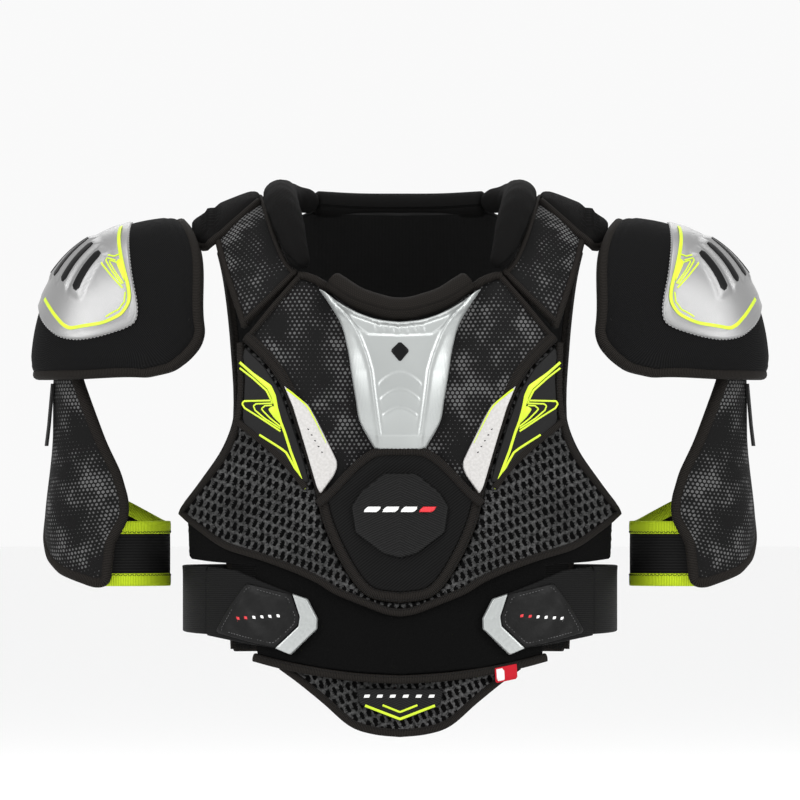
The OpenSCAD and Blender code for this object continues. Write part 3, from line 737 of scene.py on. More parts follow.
# chest shield and its badge
SHIELD_TOP = [(0, -144.5), (12, -144.8), (20, -146.5), (30, -153), (42, -165), (52, -176), (62.5, -185)]
shield_top = whole(smooth(SHIELD_TOP, 5))
low_part = beside(edge_line, 8.2)
shield_outline = between(shield_top, low_part[low_part[:, 1] < -183])
at_front("chest_shield_skin", shield_outline, 0.2, 2.6, "twill", ["chest_shield"], round_by=2.5, step=3.5,
         shape=lambda p, dist: 1.3 * bell(dist - 9, 3.5), fillness=0.6)
tape("shield_arch_tape", shield_top, front, 3.4, 0.2, 4.4, "chest")
for w in (-1.7, 1.7):
    stitches(beside(shield_top, w), front, 4.2, "chest")
OCTAGON = [(-12, -161.5), (12, -161.5), (30, -176), (37, -187), (34, -207), (13, -223), (0, -226.5), (-13, -223),
           (-34, -207), (-37, -187), (-30, -176)]


def badge_shape(p, dist):
    x, z = p[:, 0], p[:, 1]
    ridges = np.sin((z + 0.55 * np.abs(x) + 1.4 * np.sin(x / 5.5)) * 2 * math.pi / 4.2)
    return 0.34 * ridges * ease((dist - 2.5) / 2) + 0.9 * bell(dist - 1.6, 0.9)


at_front("chest_badge_rubber", OCTAGON, 2.4, 4.6, "badge_rubber", ["chest_badge"], round_by=1.2, step=1.5,
         shape=badge_shape)
BAR = np.array([(-6.5, -191.2), (3.5, -191.2), (6.5, -188.2), (6.5, -187), (-3.5, -187), (-6.5, -190)])
for q in range(4):
    at_front("badge_bar_%d" % q, BAR + [14 * q - 21, 0], 4.2, 5.9, "ink_red" if q == 3 else "ink_white", round_by=0.5,
             step=2, slot="badge_rubber")

# wings
WING_EDGE = [(0, -271), (12, -269), (33, -261), (51, -253.5), (65, -245), (83, -237), (108, -228), (135, -219.5),
             (155, -206.5), (168.5, -196), (171, -190), (157, -171.5), (135, -141.5), (125.5, -108), (125.7, -62)]
wing_line = smooth(WING_EDGE)


def lattice(p, dist):
    """Open spacer mesh: slanted oval holes between raised threads."""
    x, z = p[:, 0], p[:, 1]
    a, b = (x * 0.94 + z * 0.34) / 5.6, (z * 0.94 - x * 0.34) / 8.2
    du, dv = (a + 0.5 * (np.floor(b) % 2)) % 1 - 0.5, b % 1 - 0.5
    hole = np.exp(-((np.abs(du) + 0.25 * np.abs(dv)) / 0.33) ** 4 - (dv / 0.40) ** 4)
    return (-1.3 * hole + 0.03 * np.cos(4 * math.pi * a)) * ease((dist - 4) / 2)


def paint_hole_shade(ob, hole_depth=-0.45):
    """Painted shade: faces at the bottoms of the holes in a mesh get a darker copy of its material, standing in for the
    shade inside the holes.
    """
    me = ob.data
    me.materials.append(M["mesh_dark"])
    uv = np.zeros(len(me.loops) * 2)
    me.uv_layers["cut"].data.foreach_get("uv", uv)
    uv = uv.reshape(-1, 2) / MM
    for f in me.polygons:
        if lattice(uv[list(f.loop_indices)].mean(0)[None, :], np.array([99.0]))[0] < hole_depth:
            f.material_index = 1


wing_outline = np.maximum(between(smooth(CHEST_EDGE), beside(wing_line, 3)), [0.15, -400])
for side, k in NEAR.items():
    paint_hole_shade(at_front("wing_mesh_" + side, wing_outline, FOAM_LOW, FOAM_TOP, "spacer_mesh", ["wing_" + side],
                          round_by=2.5, step=1.5, crown=1.6, reach=14, shape=lattice, mirror=k, fillness=0.55))
    stitches([(118, -150), (96, -176), (78, -205), (62, -228)], front, 0.9, "chest", mirror=k)
tape("wing_binding_tape", beside(whole(wing_line), 3), front, 3.1, -5, 1.0, "chest", ["wing_bindings"])
stitches(beside(whole(wing_line), 5.0), front, 0.75, "chest")

GRAPHIC = [(118.5, -65.5), (103.5, -80.5), (91.7, -99), (82.7, -123.7), (75, -147), (69.3, -168), (75, -169.5),
           (83.5, -157), (93, -147), (107, -134), (120.5, -122.5), (119.5, -108), (118.5, -85), (120.5, -70)]
SEAM = [(72, -173), (82.5, -159), (93, -148), (108, -135), (124, -122.5)]
SEAM_STITCHES = [(76, -166), (84.5, -155.5), (94, -146), (108, -133.5), (121, -123)]
FLASHES = [([(122.1, -77), (112.4, -85.6), (99.6, -95.8), (96.3, -102.7), (94.2, -111.3), (91, -122), (87.7, -130.6),
             (83.4, -144.6), (78.1, -158.5), (72.7, -173.6)], 2.3),
           ([(122.1, -81.3), (112.4, -88.8), (101.7, -98.4), (98.5, -104.9), (97.4, -108.1)], 1.5),
           ([(96.9, -106), (118.9, -106.5), (120.2, -108.6), (118.3, -111.8), (107.1, -118.8), (91, -129.5)], 1.4),
           ([(96.9, -108.1), (109.7, -108.6), (111.6, -110.2), (110.3, -113.5), (102.8, -119.9), (91, -127.4)], 1.2),
           ([(97.4, -109.7), (102.8, -110), (105.5, -112.4), (103.8, -114.5), (98.5, -119.9), (91, -125.8)], 1.2),
           ([(107.1, -132.2), (98.5, -137.6), (91, -142.4), (86.7, -145.7), (82.4, -153.2), (77, -163.9),
             (72.7, -173.6)], 1.7)]
FLASH_WEDGE = [(100.6, -112.4), (96.3, -109.7), (94.2, -112.4), (91, -124.2), (96.3, -118.8), (100.1, -113.5)]


def swell(t):
    return 0.9 + 0.9 * bell(t - 0.28, 0.12)


for side, k in NEAR.items():
    at_front("wing_print_" + side, GRAPHIC, FOAM_TOP, PRINT, "grey_mesh", ["wing_graphic_" + side], round_by=1.2,
             step=4, mirror=k)
    tape("wing_seam_" + side, smooth(SEAM, 4), front, 2.6, -0.8, 1.8, "chest", mirror=k)
    stitches(SEAM_STITCHES, front, 1.2, "chest", mirror=k)
    for q, (line, wide) in enumerate(FLASHES):
        stripe("flash_%d_%s" % (q, side), line, wide, PRINT, "chest", mirror=k, taper=None if q else swell)
    mark("flash_wedge_" + side, FLASH_WEDGE, 0.6, 1.4, "lime", "grey_mesh", step=3, mirror=k)

# accent wedges
WEDGE = [(90, -94.5), (86, -98), (71.5, -109.5), (66, -119), (56, -139), (49.8, -152), (49.5, -157), (52, -163.5),
         (57.5, -171), (62, -177.5), (65, -172), (68.5, -160), (72.5, -146), (77.5, -129), (83, -111)]
WEDGE_LINE = [(86, -97.5), (80, -102), (70.5, -110.5), (64.5, -121), (56, -138.5)]
TICK = np.array([(-1.4, 0.5), (1.2, 1.6), (1.6, 0.4), (-1.0, -0.7)])
for side, k in NEAR.items():
    at_front("accent_wedge_plate_" + side, np.array(WEDGE) - [1.6, 0], 0.2, 2.9, "silver_wedge",
             ["accent_wedge_" + side], round_by=1.0, step=3, mirror=k)
    stripe("wedge_line_" + side, smooth(WEDGE_LINE), 1.5, 2.75, "chest", mirror=k,
           taper=lambda t: 1.1 - 0.75 * t)
    for q in range(5):
        mark("wedge_tick_%d_%s" % (q, side), TICK + [69.5 - 2.6 * q, -128.5 - 4.4 * q], 2.6, 3.15, "ink_black",
             "silver_wedge", step=2, mirror=k)

# belly panel, hem and tag
BELLY_TOP = [(0, -266), (31, -254.5), (64, -241), (95, -228), (112, -221), (150, -203.5), (168, -194.5)]
BELLY_LOW = [(0, -316), (31, -314), (62, -310.5), (92, -305), (112, -300), (113.6, -232), (150, -229.5),
             (167, -227.5)]


def fuzz(p, dist):
    """Matted loops, slow waves near the middle and one crease."""
    x, z = p[:, 0], p[:, 1]
    clump = (np.sin(x * 1.9 + 2.1 * np.sin(z * 0.83)) * np.sin(z * 1.7 + 1.7 * np.sin(x * 0.71))
             + 0.6 * np.sin(x * 3.7 + z * 1.3) * np.sin(z * 4.1 - x * 0.9))
    wave = np.sin(x / 17 + 0.6) * np.sin(z / 23) * (1 - ease((np.abs(x) - 95) / 25))
    return 0.22 * clump + wave + 0.8 * bell(x - 3, 8)


belly_outline = between(whole(BELLY_TOP), whole(BELLY_LOW))
at_front("belly_fabric", belly_outline, FOAM_LOW, LOOP_TOP, "loop_fabric", ["belly_panel"], round_by=2, step=1.7,
         shape=fuzz, fillness=0.3)
HEM = [(0, -319.2), (22, -318.2), (43, -316.3), (70, -312.3), (95, -307.3), (114, -302.5)]
hem_line = whole(smooth(HEM, 5))
tape("belly_hem_tape", hem_line, front, 3.3, FOAM_LOW, -2.6, "chest", ["belly_binding"])
stitches(beside(hem_line, 1.9), front, -2.7, "chest")
TAG = [(73, -310.5), (90, -307), (90.6, -318.5), (73.6, -322)]
at_front("size_tag_weave", TAG, -2.9, -1.9, "tag_fabric", ["size_tag"], round_by=0.4, step=3, fine_edge=False)
mark("size_tag_patch", [(74, -311.4), (80, -310.2), (80.6, -319.4), (74.6, -320.6)], -2.1, -1.6, "tag_white",
     "tag_fabric", step=3)


# ---- rolls
def roll(name, path, material, body, nodes, radius=None, ends=0.6, flat=0.95, folds=0.0, mirror=1, blunt=0.9):
    """A stuffed roll through points of [x, y, z] or [x, y, z, radius]; blunt is the length of its rounded ends."""
    sides = 28
    v = spaced(smooth(path, 10), 2.0)
    n = len(v)
    radius = v[:, 3] if radius is None else np.full(n, float(radius))
    v, t = v[:, :3], np.linspace(0, 1, n)
    e = ends + (1 - ends) * np.sin(math.pi * np.clip(t, 0.02, 0.98)) ** 0.35
    from_end = np.minimum(np.minimum(t, 1 - t) * n * 2.0 / (radius * blunt), 1)
    cap_end = np.sqrt(np.clip(1 - (1 - from_end) ** 2, 0.02, 1))
    u = unit(np.gradient(v, axis=0))
    s = unit(np.cross(u, [0.0, 0.0, 1.0]))
    up = np.cross(s, u)
    a = np.linspace(0, 2 * math.pi, sides, endpoint=False)
    crease = np.sin(t[:, None] * 60 + 2 * np.sin(3 * a[None, :])) * np.sin(a[None, :] * 2 + 1)
    r = (radius * e * cap_end)[:, None] * (1 + folds * crease)
    points = (v[:, None, :] + s[:, None, :] * (r * np.cos(a))[:, :, None]
              + up[:, None, :] * (r * flat * np.sin(a))[:, :, None]).reshape(-1, 3)
    uv = columns(np.repeat(lengths(v), sides), np.tile(a * radius.mean(), n))
    return mesh_object(name, points, tube_faces(n, sides), uv, material, body, nodes, mirror)


neck_line = whole([(0, -36.8), (12, -35.3), (31.6, -28.8), (45, -20.3), (53.5, -14.4)])
roll("collar_front_knit", front(neck_line, 3.0), "knit_roll", "chest", ["collar_front"], 8.6, 0.85, 1.0, blunt=0.5)
COLLAR = [(72, -93, -4, 7), (79, -86, 8, 10), (85.5, -68, 29, 12.5), (90, -46, 43, 13), (92, -18, 50, 13),
          (91, 10, 52, 13), (83, 34, 50, 12), (65, 54.5, 46.5, 11)]
for side, k in NEAR.items():
    roll("collar_roll_" + side, COLLAR, "collar_knit", "back", ["collar_" + side], ends=0.72, folds=0.02, mirror=k)
COLLAR_BACK = [(-67, 54, 46), (-34, 66, 44), (0, 68.5, 43.7), (34, 66, 44), (67, 54, 46)]
roll("collar_roll_back", COLLAR_BACK, "collar_knit", "back", ["collar_back"], 10.8, 0.95, blunt=0.4)

# ---- yokes and clavicle pads
YOKE_IN = [(79, 37.5), (88, 43), (97, 55), (103.5, 72), (107, 90), (106, 104), (99, 116), (92, 124)]
YOKE_OUT = [(121.5, 25), (130, 36), (138, 49), (143.5, 66), (145, 90), (144, 104), (142, 115), (139.5, 124)]
PUFF_FRONT = [(108, 75), (122, 68), (136, 62), (146, 59), (153, 60), (161, 66)]
PUFF_BACK = [(108, 118), (122, 118), (136, 117.5), (146, 116.5), (153, 114), (161, 108)]
CHEST_SEAM = [(77.5, -11), (97, -33.5), (117, -58)]
NECK_EDGE = [(50, -21.5), (56.5, -18), (64.5, -13), (72, -10.2), (78, -9.5)]
ARC_MM = 2.6


def over_mm(p, d):
    """over, with the angle given in millimetres, so that a pattern keeps its scale."""
    return over(p / [1, ARC_MM], d)


def in_mm(points):
    return np.array(points, float) * [1, ARC_MM]


def over_drop(p, d):
    """over_mm, but lower beyond the end of the shoulder."""
    return over_mm(p, d - 3 * ease((p[:, 0] - 145.5) / 4))


def lobes(p, dist):
    """A quilting groove along the shoulder between the two lobes of the pad."""
    return -2.6 * bell(p[:, 0] - 141, 2.6) * ease(dist / 5)


for side, k in NEAR.items():
    inner, outer = in_mm(smooth(YOKE_IN, 5)), in_mm(smooth(YOKE_OUT, 5))
    pad("yoke_skin_" + side, between(inner, outer), over_mm, FOAM_LOW, -1.6, "printed_fabric", "back",
        ["yoke_" + side], round_by=5, step=4.5, crown=3.0, reach=14, mirror=k, fillness=0.7)
    seam = beside(spaced([inner[0], outer[0]], 4), 1.2) + [0, 1.5]
    for name, line, half, high in (("arm", beside(outer, 1.8), 2.8, 0.6), ("neck", beside(inner, -1.5), 2.2, 0.2),
                                   ("seam", seam, 2.4, 0.4)):
        tape("yoke_%s_tape_%s" % (name, side), line, over_mm, half, TAPE_LOW, high, "back", mirror=k)
    stitches(beside(outer, 5.2), over_mm, -0.7, "back", mirror=k)
    tape("chest_seam_tape_" + side, CHEST_SEAM, front, 2.6, TAPE_LOW, 0.9, "chest", mirror=k)
    stitches([(76, -13), (95, -35), (114, -58)], front, 0.6, "chest", mirror=k)
    tape("neck_tape_" + side, NECK_EDGE, front, 3.0, TAPE_LOW, 1.6, "chest", mirror=k)
    pad("shoulder_puff_" + side, between(in_mm(PUFF_FRONT), in_mm(PUFF_BACK)), over_drop, -0.5, 4.6, "collar_knit",
        "back", ["clavicle_pad_" + side], round_by=7, step=4, crown=1.2, reach=8, mirror=k, fillness=0.8, shape=lobes)
    tape("shoulder_puff_tape_" + side, in_mm(PUFF_FRONT), over_drop, 2.6, -2, 3.4, "back", mirror=k)

# ---- back
BACK_SIDE = [(138, 126), (133, 140), (128, 160), (126, 180), (135, 205), (152, 230), (165, 247)]
BACK_TOP = [(106, 125.5), (98, 121.3), (60, 119.5), (30, 120), (0, 120.3)]
BACK_ARC_MM = 2.9


def back_mm(p, d):
    """over, measured in millimetres down the back from its middle height."""
    a = np.where(p[:, 1] > 0, 180 - p[:, 1] / BACK_ARC_MM, 180 - p[:, 1])
    return over(columns(p[:, 0], a), d)


def on_back(points):
    v = np.array(points, float)
    return columns(v[:, 0], (180 - v[:, 1]) * np.where(v[:, 1] < 180, BACK_ARC_MM, 1))


def quilt(p, dist):
    x, z = np.abs(p[:, 0]), p[:, 1]
    return -2.0 * (bell(x - 40, 2.2) + bell(x - 122, 2.2) * (z > -60)) * ease(dist / 10)


back_side, back_top = on_back(smooth(BACK_SIDE, 5)), on_back(BACK_TOP)
back_outline = np.concatenate([back_side * [-1, 1], back_side[::-1], back_top, back_top[-2::-1] * [-1, 1]])
pad("back_skin", back_outline, back_mm, FOAM_LOW, -1.5, "back_fabric", "back", ["back_panel"], round_by=5, crown=2.0,
    reach=18, shape=quilt, fillness=0.6)
for side, k in NEAR.items():
    tape("back_edge_tape_" + side, beside(back_side, 1.5), back_mm, 3.0, -7, 0.8, "back", mirror=k)
tape("back_low_tape", [(-164, -66), (164, -66)], back_mm, 3.0, -7, 0.8, "back")
LOW_BACK = [(-138, -69.5), (138, -69.5), (132, -178), (-132, -178)]
pad("lower_back_elastic", spaced(LOW_BACK, 6, True), back_mm, FOAM_LOW, LOOP_TOP, "elastic", "back",
    ["lower_back_panel"], round_by=2, step=6, fillness=0.3,
    shape=lambda p, dist: 0.5 * np.sin(p[:, 1] * 2 * math.pi / 9))
for side, k in NEAR.items():
    tape("lower_back_tape_" + side, [(138, -70), LOW_BACK[2]], back_mm, 2.6, FOAM_LOW, -3.2, "back", mirror=k)
tape("lower_back_hem_tape", [(-131, -177), (129, -177)], back_mm, 3.0, FOAM_LOW, -3.0, "back")
spine = on_back([(30 + 6 * math.cos(math.pi / 5 * i), 134 + 11 * i) for i in range(11)])


def vertebrae(p, dist):
    x, z = p[:, 0], p[:, 1]
    return (1.6 * np.cos(z * 2 * math.pi / 24) * np.exp(-(x / 22) ** 4) + 1.8 * bell(x, 5)) * ease(dist / 6)


pad("spine_shell", between(spine * [-1, 1], spine), back_mm, 0.4, 4.6, "hard_insert", "back",
    ["spine_plate"], step=3, shape=vertebrae)
SCAP_IN = [(50, 137), (46, 155), (44, 172), (46, 195), (52, 215)]
SCAP_OUT = [(116, 133), (117, 152), (112, 172), (112, 195), (118, 212)]


def scapula_seams(p, dist):
    return -2.0 * sum(bell(p[:, 1] - z, 2.0) for z in (70, 20, -20)) * ease(dist / 8)


for side, k in NEAR.items():
    outline = between(on_back(smooth(SCAP_IN, 5)), on_back(smooth(SCAP_OUT, 5)))
    pad("scapula_puff_" + side, outline, back_mm, 0.4, 5.5, "knit", "back", ["scapula_pad_" + side], round_by=7,
        step=4.5, crown=3.5, reach=14, mirror=k, fillness=0.8, shape=scapula_seams, slot="back_fabric")
    stitches(closed(outline), back_mm, 0.6, "back", mirror=k)

# ---- extension pad
DROP_TOP = [(0, -288), (30, -288), (55, -288), (72, -291), (84, -298)]
DROP = [(0, -360), (20, -358), (38, -352), (58, -335.5), (78, -320), (94, -309)]
drop_line = whole(smooth(DROP, 5))
drop_outline = between(whole(DROP_TOP), drop_line)
paint_hole_shade(at_front("extension_mesh", drop_outline, -13, -9.2, "spacer_mesh", ["extension_pad"], body="extension",
                      round_by=2.5, step=1.5, shape=lattice, fillness=0.4))
tape("extension_binding_tape", drop_line, front, 3.2, -13.4, -7.6, "extension", ["extension_binding"])
stitches(beside(drop_line, 1.9), front, -7.7, "extension")
BADGE = [(-34, -326), (34, -326), (31.5, -338), (14, -346), (0, -350.5), (-14, -346), (-31.5, -338)]
at_front("extension_badge_rubber", BADGE, -9.4, -6.7, "badge_rubber", ["extension_badge"], body="extension",
         round_by=0.9, step=2.5)
for q, (half, high, tip, wide) in enumerate(((27, -339, -349.3, 2.0), (13.4, -338.7, -344, 1.6))):
    stripe("badge_chevron_%d" % q, [(-half, high), (0, tip), (half, high)], wide, -6.75, "extension")
DASH = np.array([(-3.4, -1.2), (2.4, -1.2), (3.4, 1.2), (-2.4, 1.2)])
for q in range(6):
    mark("badge_dash_%d" % q, DASH + [10 * q - 25, -331.8], -6.9, -6.3, "ink_white", "badge_rubber", step=3,
         body="extension")

# ---- belt straps and tabs
BELT_START, BELT_TURN, BELT_TOP = 59.7, 77, -232.4  # degrees round the waist, and millimetres
TAB = [(83, -253.6), (76.4, -271), (77.4, -278), (95.6, -295.6), (121, -291.5), (150.3, -285.8), (150.3, -233.2),
       (127, -235.8), (105, -245)]
GLOSS = [(82.8, -254.2), (76.8, -271), (77.8, -278), (95.8, -295), (118, -290), (142, -283.5), (130, -262),
         (118, -245.5)]
GLOSS_STITCHES = [(86, -256.6), (80, -271), (81, -277), (97, -291.6), (118, -286.9), (137.5, -281.6), (127, -263),
                  (116.4, -248.6), (86, -256.6)]
TAB_END = [(82.6, -253.6), (71, -257.5), (63.3, -272.5), (63.6, -280.5), (84, -300.4), (96, -295.4), (77.9, -278.3),
           (76.9, -271)]
SLASH = np.array([(-1.8, -2.6), (0.6, -2.6), (1.8, 2.6), (-0.6, 2.6)])


def round_waist(p, d):
    return around(p / [ARC_MM, 1], d)


def creased(p, dist):
    x, z = p[:, 0], p[:, 1]
    fold = 0.7 * np.sin(x / 5.2 + z / 9 + 1.3 * np.sin(z / 7)) * bell(x - 128, 14) + 0.35 * np.sin(x / 3.4 - z / 5)
    return fold * ease((dist - 1) / 5) - 0.5 * bell(dist - 3.2, 0.7)


def chevron_lines(p, dist):
    return -0.25 * (np.abs((dist % 2.4) - 1.2) < 0.35) * (dist > 1.5)


part_way = np.arange(25) / 24
belt = np.concatenate([columns(BELT_START + BELT_TURN * part_way, BELT_TOP),
                       columns(BELT_START + BELT_TURN * (1 - part_way), BELT_TOP - 48.1 - 4.5 * part_way)])
for side, k in NEAR.items():
    body = "tab_" + side
    strap = pad("belt_elastic_" + side, belt * [ARC_MM, 1], round_waist, -3.4, -0.9, "elastic", "back",
                ["belt_strap_" + side], round_by=1.0, mirror=k)
    length_of([(a * ARC_MM, -233) for a in (BELT_START, BELT_START + BELT_TURN)], round_waist)
    pad("tab_elastic_" + side, TAB, front, -3.4, -1.2, "elastic", body, round_by=0.8, mirror=k)
    pad("tab_gloss_" + side, GLOSS, front, -2.2, 0.4, "tab_gloss", body, ["strap_tab_" + side], round_by=1.0, step=2.2,
        mirror=k, shape=creased)
    stitches(spaced(GLOSS_STITCHES, 3), front, 0.0, body, mirror=k, material="thread_grey", pitch=2.6, long=1.6,
             thick=0.28)
    pad("tab_silver_" + side, TAB_END, front, -3.4, 0.9, "silver_plate", body, ["strap_end_" + side], round_by=0.9,
        step=1.3, mirror=k, shape=chevron_lines)
    for q in range(6):
        white = (q < 4) == (k < 0) or q in (2, 3)
        mark("tab_mark_%d_%s" % (q, side), SLASH + [93.0 + 6.2 * q, -270.5 - 0.4 * q], -0.4, 0.75,
             "ink_white" if white else "ink_red", "tab_gloss", body=body, step=3, mirror=k,
             shape=lambda p, dist: creased(p, 99.0))

# ---- shoulder caps
EMBLEM = [(20, 0), (21.5, 15), (24.5, 30), (28.5, 43), (34.5, 55), (41, 62), (49, 65), (57, 64), (64.5, 60.5),
          (71, 55), (75.4, 47), (76.6, 37), (75, 27), (72.5, 17), (70, 8), (69, 0)]
CAP_LINES = [([(214.2, 27.6), (215.7, 18.5), (214.2, 6.3), (211.5, -5.9), (208.3, -18.1), (207.5, -27.9),
               (210.3, -35.2), (216.6, -41.3), (230, -46.8), (249.6, -50.1), (256.9, -48.6), (263, -42.5),
               (269.1, -34), (272.7, -27.9)], 2.8),
             ([(214.2, 6.5), (219.1, 4.5), (225.2, 5.7), (229.8, 5.9), (230.9, 3.2), (228.2, -1.6), (220.3, -11.4),
               (212.4, -19.9)], 1.4),
             ([(217.9, 1.4), (224.6, 3.2), (225.4, 1.2), (220.3, -7.4), (213, -16.9)], 1.2),
             ([(216.9, -0.4), (222.1, 1.4), (222.5, -0.1), (218.5, -6.9), (211.8, -16.3)], 1.1),
             ([(210.3, -23), (211, -30.3), (215.4, -36.4), (225.2, -41.9)], 1.2)]
CAP_FLASH = [(214.2, 3.2), (217.9, 0.6), (216.9, -2.2), (214.2, -8.3), (211.1, -15.1), (210.3, -8.3), (211.5, -2.2)]
CAP_RIM = [(-2.5, -2.6), (0.5, -1.7), (2.5, -1.6), (4.4, -2.4), (5.6, -4.2), (6.0, -6.5), (5.6, -9.5), (4.4, -12),
           (2.0, -13.6), (-1.5, -14.2), (-1.5, -9), (-1.5, -5)]
BAR_CORNERS = [(-9.5, -2.4), (9.5, -2.4), (10, -1.8), (10, 1.8), (9.5, 2.4), (-9.5, 2.4), (-10, 1.8), (-10, -1.8)]
BAR_MIDDLE, BAR_SLANT, BARS = 46, 0.35, range(-33, 34, 11)
DOME_MM = 2.0
emb_half = smooth(EMBLEM, 5)
emblem_outline = np.concatenate([emb_half, (emb_half * [1, -1])[::-1][1:-1]]) * DOME_MM


def dome_mm(p, d):
    """dome, with angles given in millimetres."""
    return dome(p / DOME_MM, d)


def from_front(points, d=2.5):
    """Points of the front view, [x, z], laid on the dome."""
    v = np.array(points, float)
    u, w = (v[:, 0] - CAP_X) / (REACH + d), (v[:, 1] - CAP_Z) / (RISE + d)
    a = np.arctan((u / w) ** 1.25)
    c = np.minimum(u / np.sin(a) ** 0.8, 0.999)
    return columns(a, np.arccos(c ** 1.25)) / DEG * DOME_MM


def grid_sheet(name, on, nu, nv, low, high, material, body, nodes, mirror, shape=None, edge_mm=6.0):
    """A padded sheet on a grid of [-1..1, 0..1], with its lines closer at the edges."""
    i, j = np.meshgrid(np.sin(np.linspace(-1, 1, nu) * math.pi / 2), (1 - np.cos(np.linspace(0, 1, nv) * math.pi)) / 2)
    p = columns(i.ravel(), j.ravel())
    base = on(p, 0.0).reshape(nv, nu, 3)
    u = np.concatenate([np.zeros((nv, 1)), np.cumsum(np.linalg.norm(np.diff(base, axis=1), axis=2), 1)], 1)
    v = np.concatenate([np.zeros((1, nu)), np.cumsum(np.linalg.norm(np.diff(base, axis=0), axis=2), 0)], 0)
    dist = np.minimum(np.minimum(u, u[:, -1:] - u), np.minimum(v, v[-1:, :] - v)).ravel()
    h = low + (high - low) * (0.3 + 0.7 * rounded(dist, edge_mm))
    uv = columns((u - u[:, nu // 2:nu // 2 + 1]).ravel(), v.ravel())
    if shape is not None:
        h = h + shape(uv, dist)
    n, faces = nu * nv, []
    for k in (j * nu + i for j in range(nv - 1) for i in range(nu - 1)):
        faces += [(k, k + 1, k + nu + 1, k + nu), (n + k, n + k + nu, n + k + nu + 1, n + k + 1)]
    loop = (list(range(nu)) + [nu * (j + 1) - 1 for j in range(1, nv)] + list(range(n - 2, n - nu - 1, -1))
            + [nu * j for j in range(nv - 2, 0, -1)])
    faces += [(b, a, a + n, b + n) for a, b in zip(loop, loop[1:] + loop[:1])]
    return mesh_object(name, np.concatenate([on(p, h), on(p, float(low))]), faces, np.concatenate([uv, uv]), material,
                       body, nodes, mirror)


RIM = np.concatenate([spaced([(-1, 0), (1, 0)], 2 / 59), spaced([(1, 0), (1, 1)], 1 / 39)[1:],
                      spaced([(1, 1), (-1, 1)], 2 / 59)[1:], spaced([(-1, 1), (-1, 0)], 1 / 39)[1:-1]])


def rim_tape(name, on, section, body, nodes, mirror, backwards=False):
    """Binding round the rim of a grid_sheet, with its corners eased."""
    base, up = stand(RIM[::-1] if backwards else RIM, on)
    base, up = closed(base), closed(unit(up))
    along = lengths(base)
    at = np.linspace(0, along[-1], int(along[-1] / 2.2), endpoint=False)
    b = sample(base, along, at)
    for _ in range(3):
        b = 0.5 * b + 0.25 * (np.roll(b, 1, 0) + np.roll(b, -1, 0))
    return sweep(name, b, sample(up, along, at), section, "binding", body, nodes, True, mirror=mirror)


def rim_stitches(on, wide, start, long_part, d, body, mirror, **more):
    stitches(RIM * [wide, long_part] + [0, start], on, d, body, mirror=mirror, **more)


def soft_cap(uv, dist):
    return 0.7 * np.sin(uv[:, 0] / 21 + 0.5) * np.sin(uv[:, 1] / 26) - 0.5 * bell(dist - 7.5, 1.6)


def emblem_shape(p, dist):
    """Raised slanted bars in the emblem, with a soft step round them."""
    a, b = p[:, 0] / DOME_MM - BAR_MIDDLE, p[:, 1] / DOME_MM
    v = ease((13.5 - np.abs(a)) / 3.6)
    h = np.max([ease((5.4 - np.abs(b - c - a * BAR_SLANT)) / 2.6) * v for c in BARS], axis=0)
    return 1.7 * h + 0.5 * ease((dist - 6) / 4)


for side, k in NEAR.items():
    body = "cap_" + side
    grid_sheet("cap_knit_" + side, cap, 72, 52, -5, 0, "knit", body, ["cap_cover_" + side], k, soft_cap, 13.0)
    grid_sheet("cap_insert_" + side, cap, 30, 20, -8, -5.2, "hard_insert", body, ["cap_shell_" + side], k, None, 1.0)
    grid_sheet("cap_lining_" + side, cap, 40, 28, -13.6, -8.2, "lining", body, ["cap_liner_" + side], k, None, 1.5)
    rim_tape("cap_binding_tape_" + side, cap, CAP_RIM, body, ["cap_binding_" + side], k)
    rim_stitches(cap, 0.965, 0.045, 0.915, -0.9, body, k, pitch=3.4, long=2.3, thick=0.42)
    pad("cap_emblem_patch_" + side, emblem_outline, dome_mm, 0.2, 2.2, "silver_print", body, ["cap_emblem_" + side],
        round_by=1.6, step=2.4, mirror=k, shape=emblem_shape)
    for q, c in enumerate(BARS):
        bar = [(BAR_MIDDLE + a, c + b + a * BAR_SLANT) for a, b in BAR_CORNERS]
        pad("cap_bar_%d_%s" % (q, side), np.array(bar) * DOME_MM, dome_mm, 3.2, 4.9, "ink_black", body, round_by=0.7,
            step=3, mirror=k, slot="badge_rubber")
    ends = ((1, "front"), (-1, "rear"))
    for q, (points, wide) in enumerate(CAP_LINES):
        for end, name in ends:
            line = from_front(points) * [1, end]
            stripe("cap_line_%d_%s_%s" % (q, side, name), line if q else smooth(line), wide, 2.75, body, dome_mm, k)
    for end, name in ends:
        pad("cap_flash_%s_%s" % (side, name), from_front(CAP_FLASH) * [1, end], dome_mm, 2.2, 3.1, "lime", body,
            round_by=0.3, step=3, mirror=k, slot="silver_plate")
    stitches(closed(emblem_outline), dome_mm, 0.9, body, mirror=k, pitch=1.5, long=2.0, thick=0.36,
             material="thread_silver", zigzag=1.0)

# ---- bicep guards
GUARD_RIM = [(-3.6, 0.2), (-2, 1.3), (0.5, 1.7), (2.6, 1.2), (4.0, -0.4), (4.4, -3), (4.0, -5.4), (2.0, -6.6),
             (-1.5, -6.9), (-1.5, -3)]
BAND_Z, BAND_RISE, BAND_H, BAND_IN = -223.5, 32.0, 48.0, 8.4
BAND_ENDS = (12, -250)


def band_middle(angle):
    z = BAND_Z + BAND_RISE * ease((-angle - 110) / 130)
    r = guard_radius(z + 22) - BAND_IN
    return columns(ARM_X + r * np.sin(angle * DEG), -r * np.cos(angle * DEG), z)


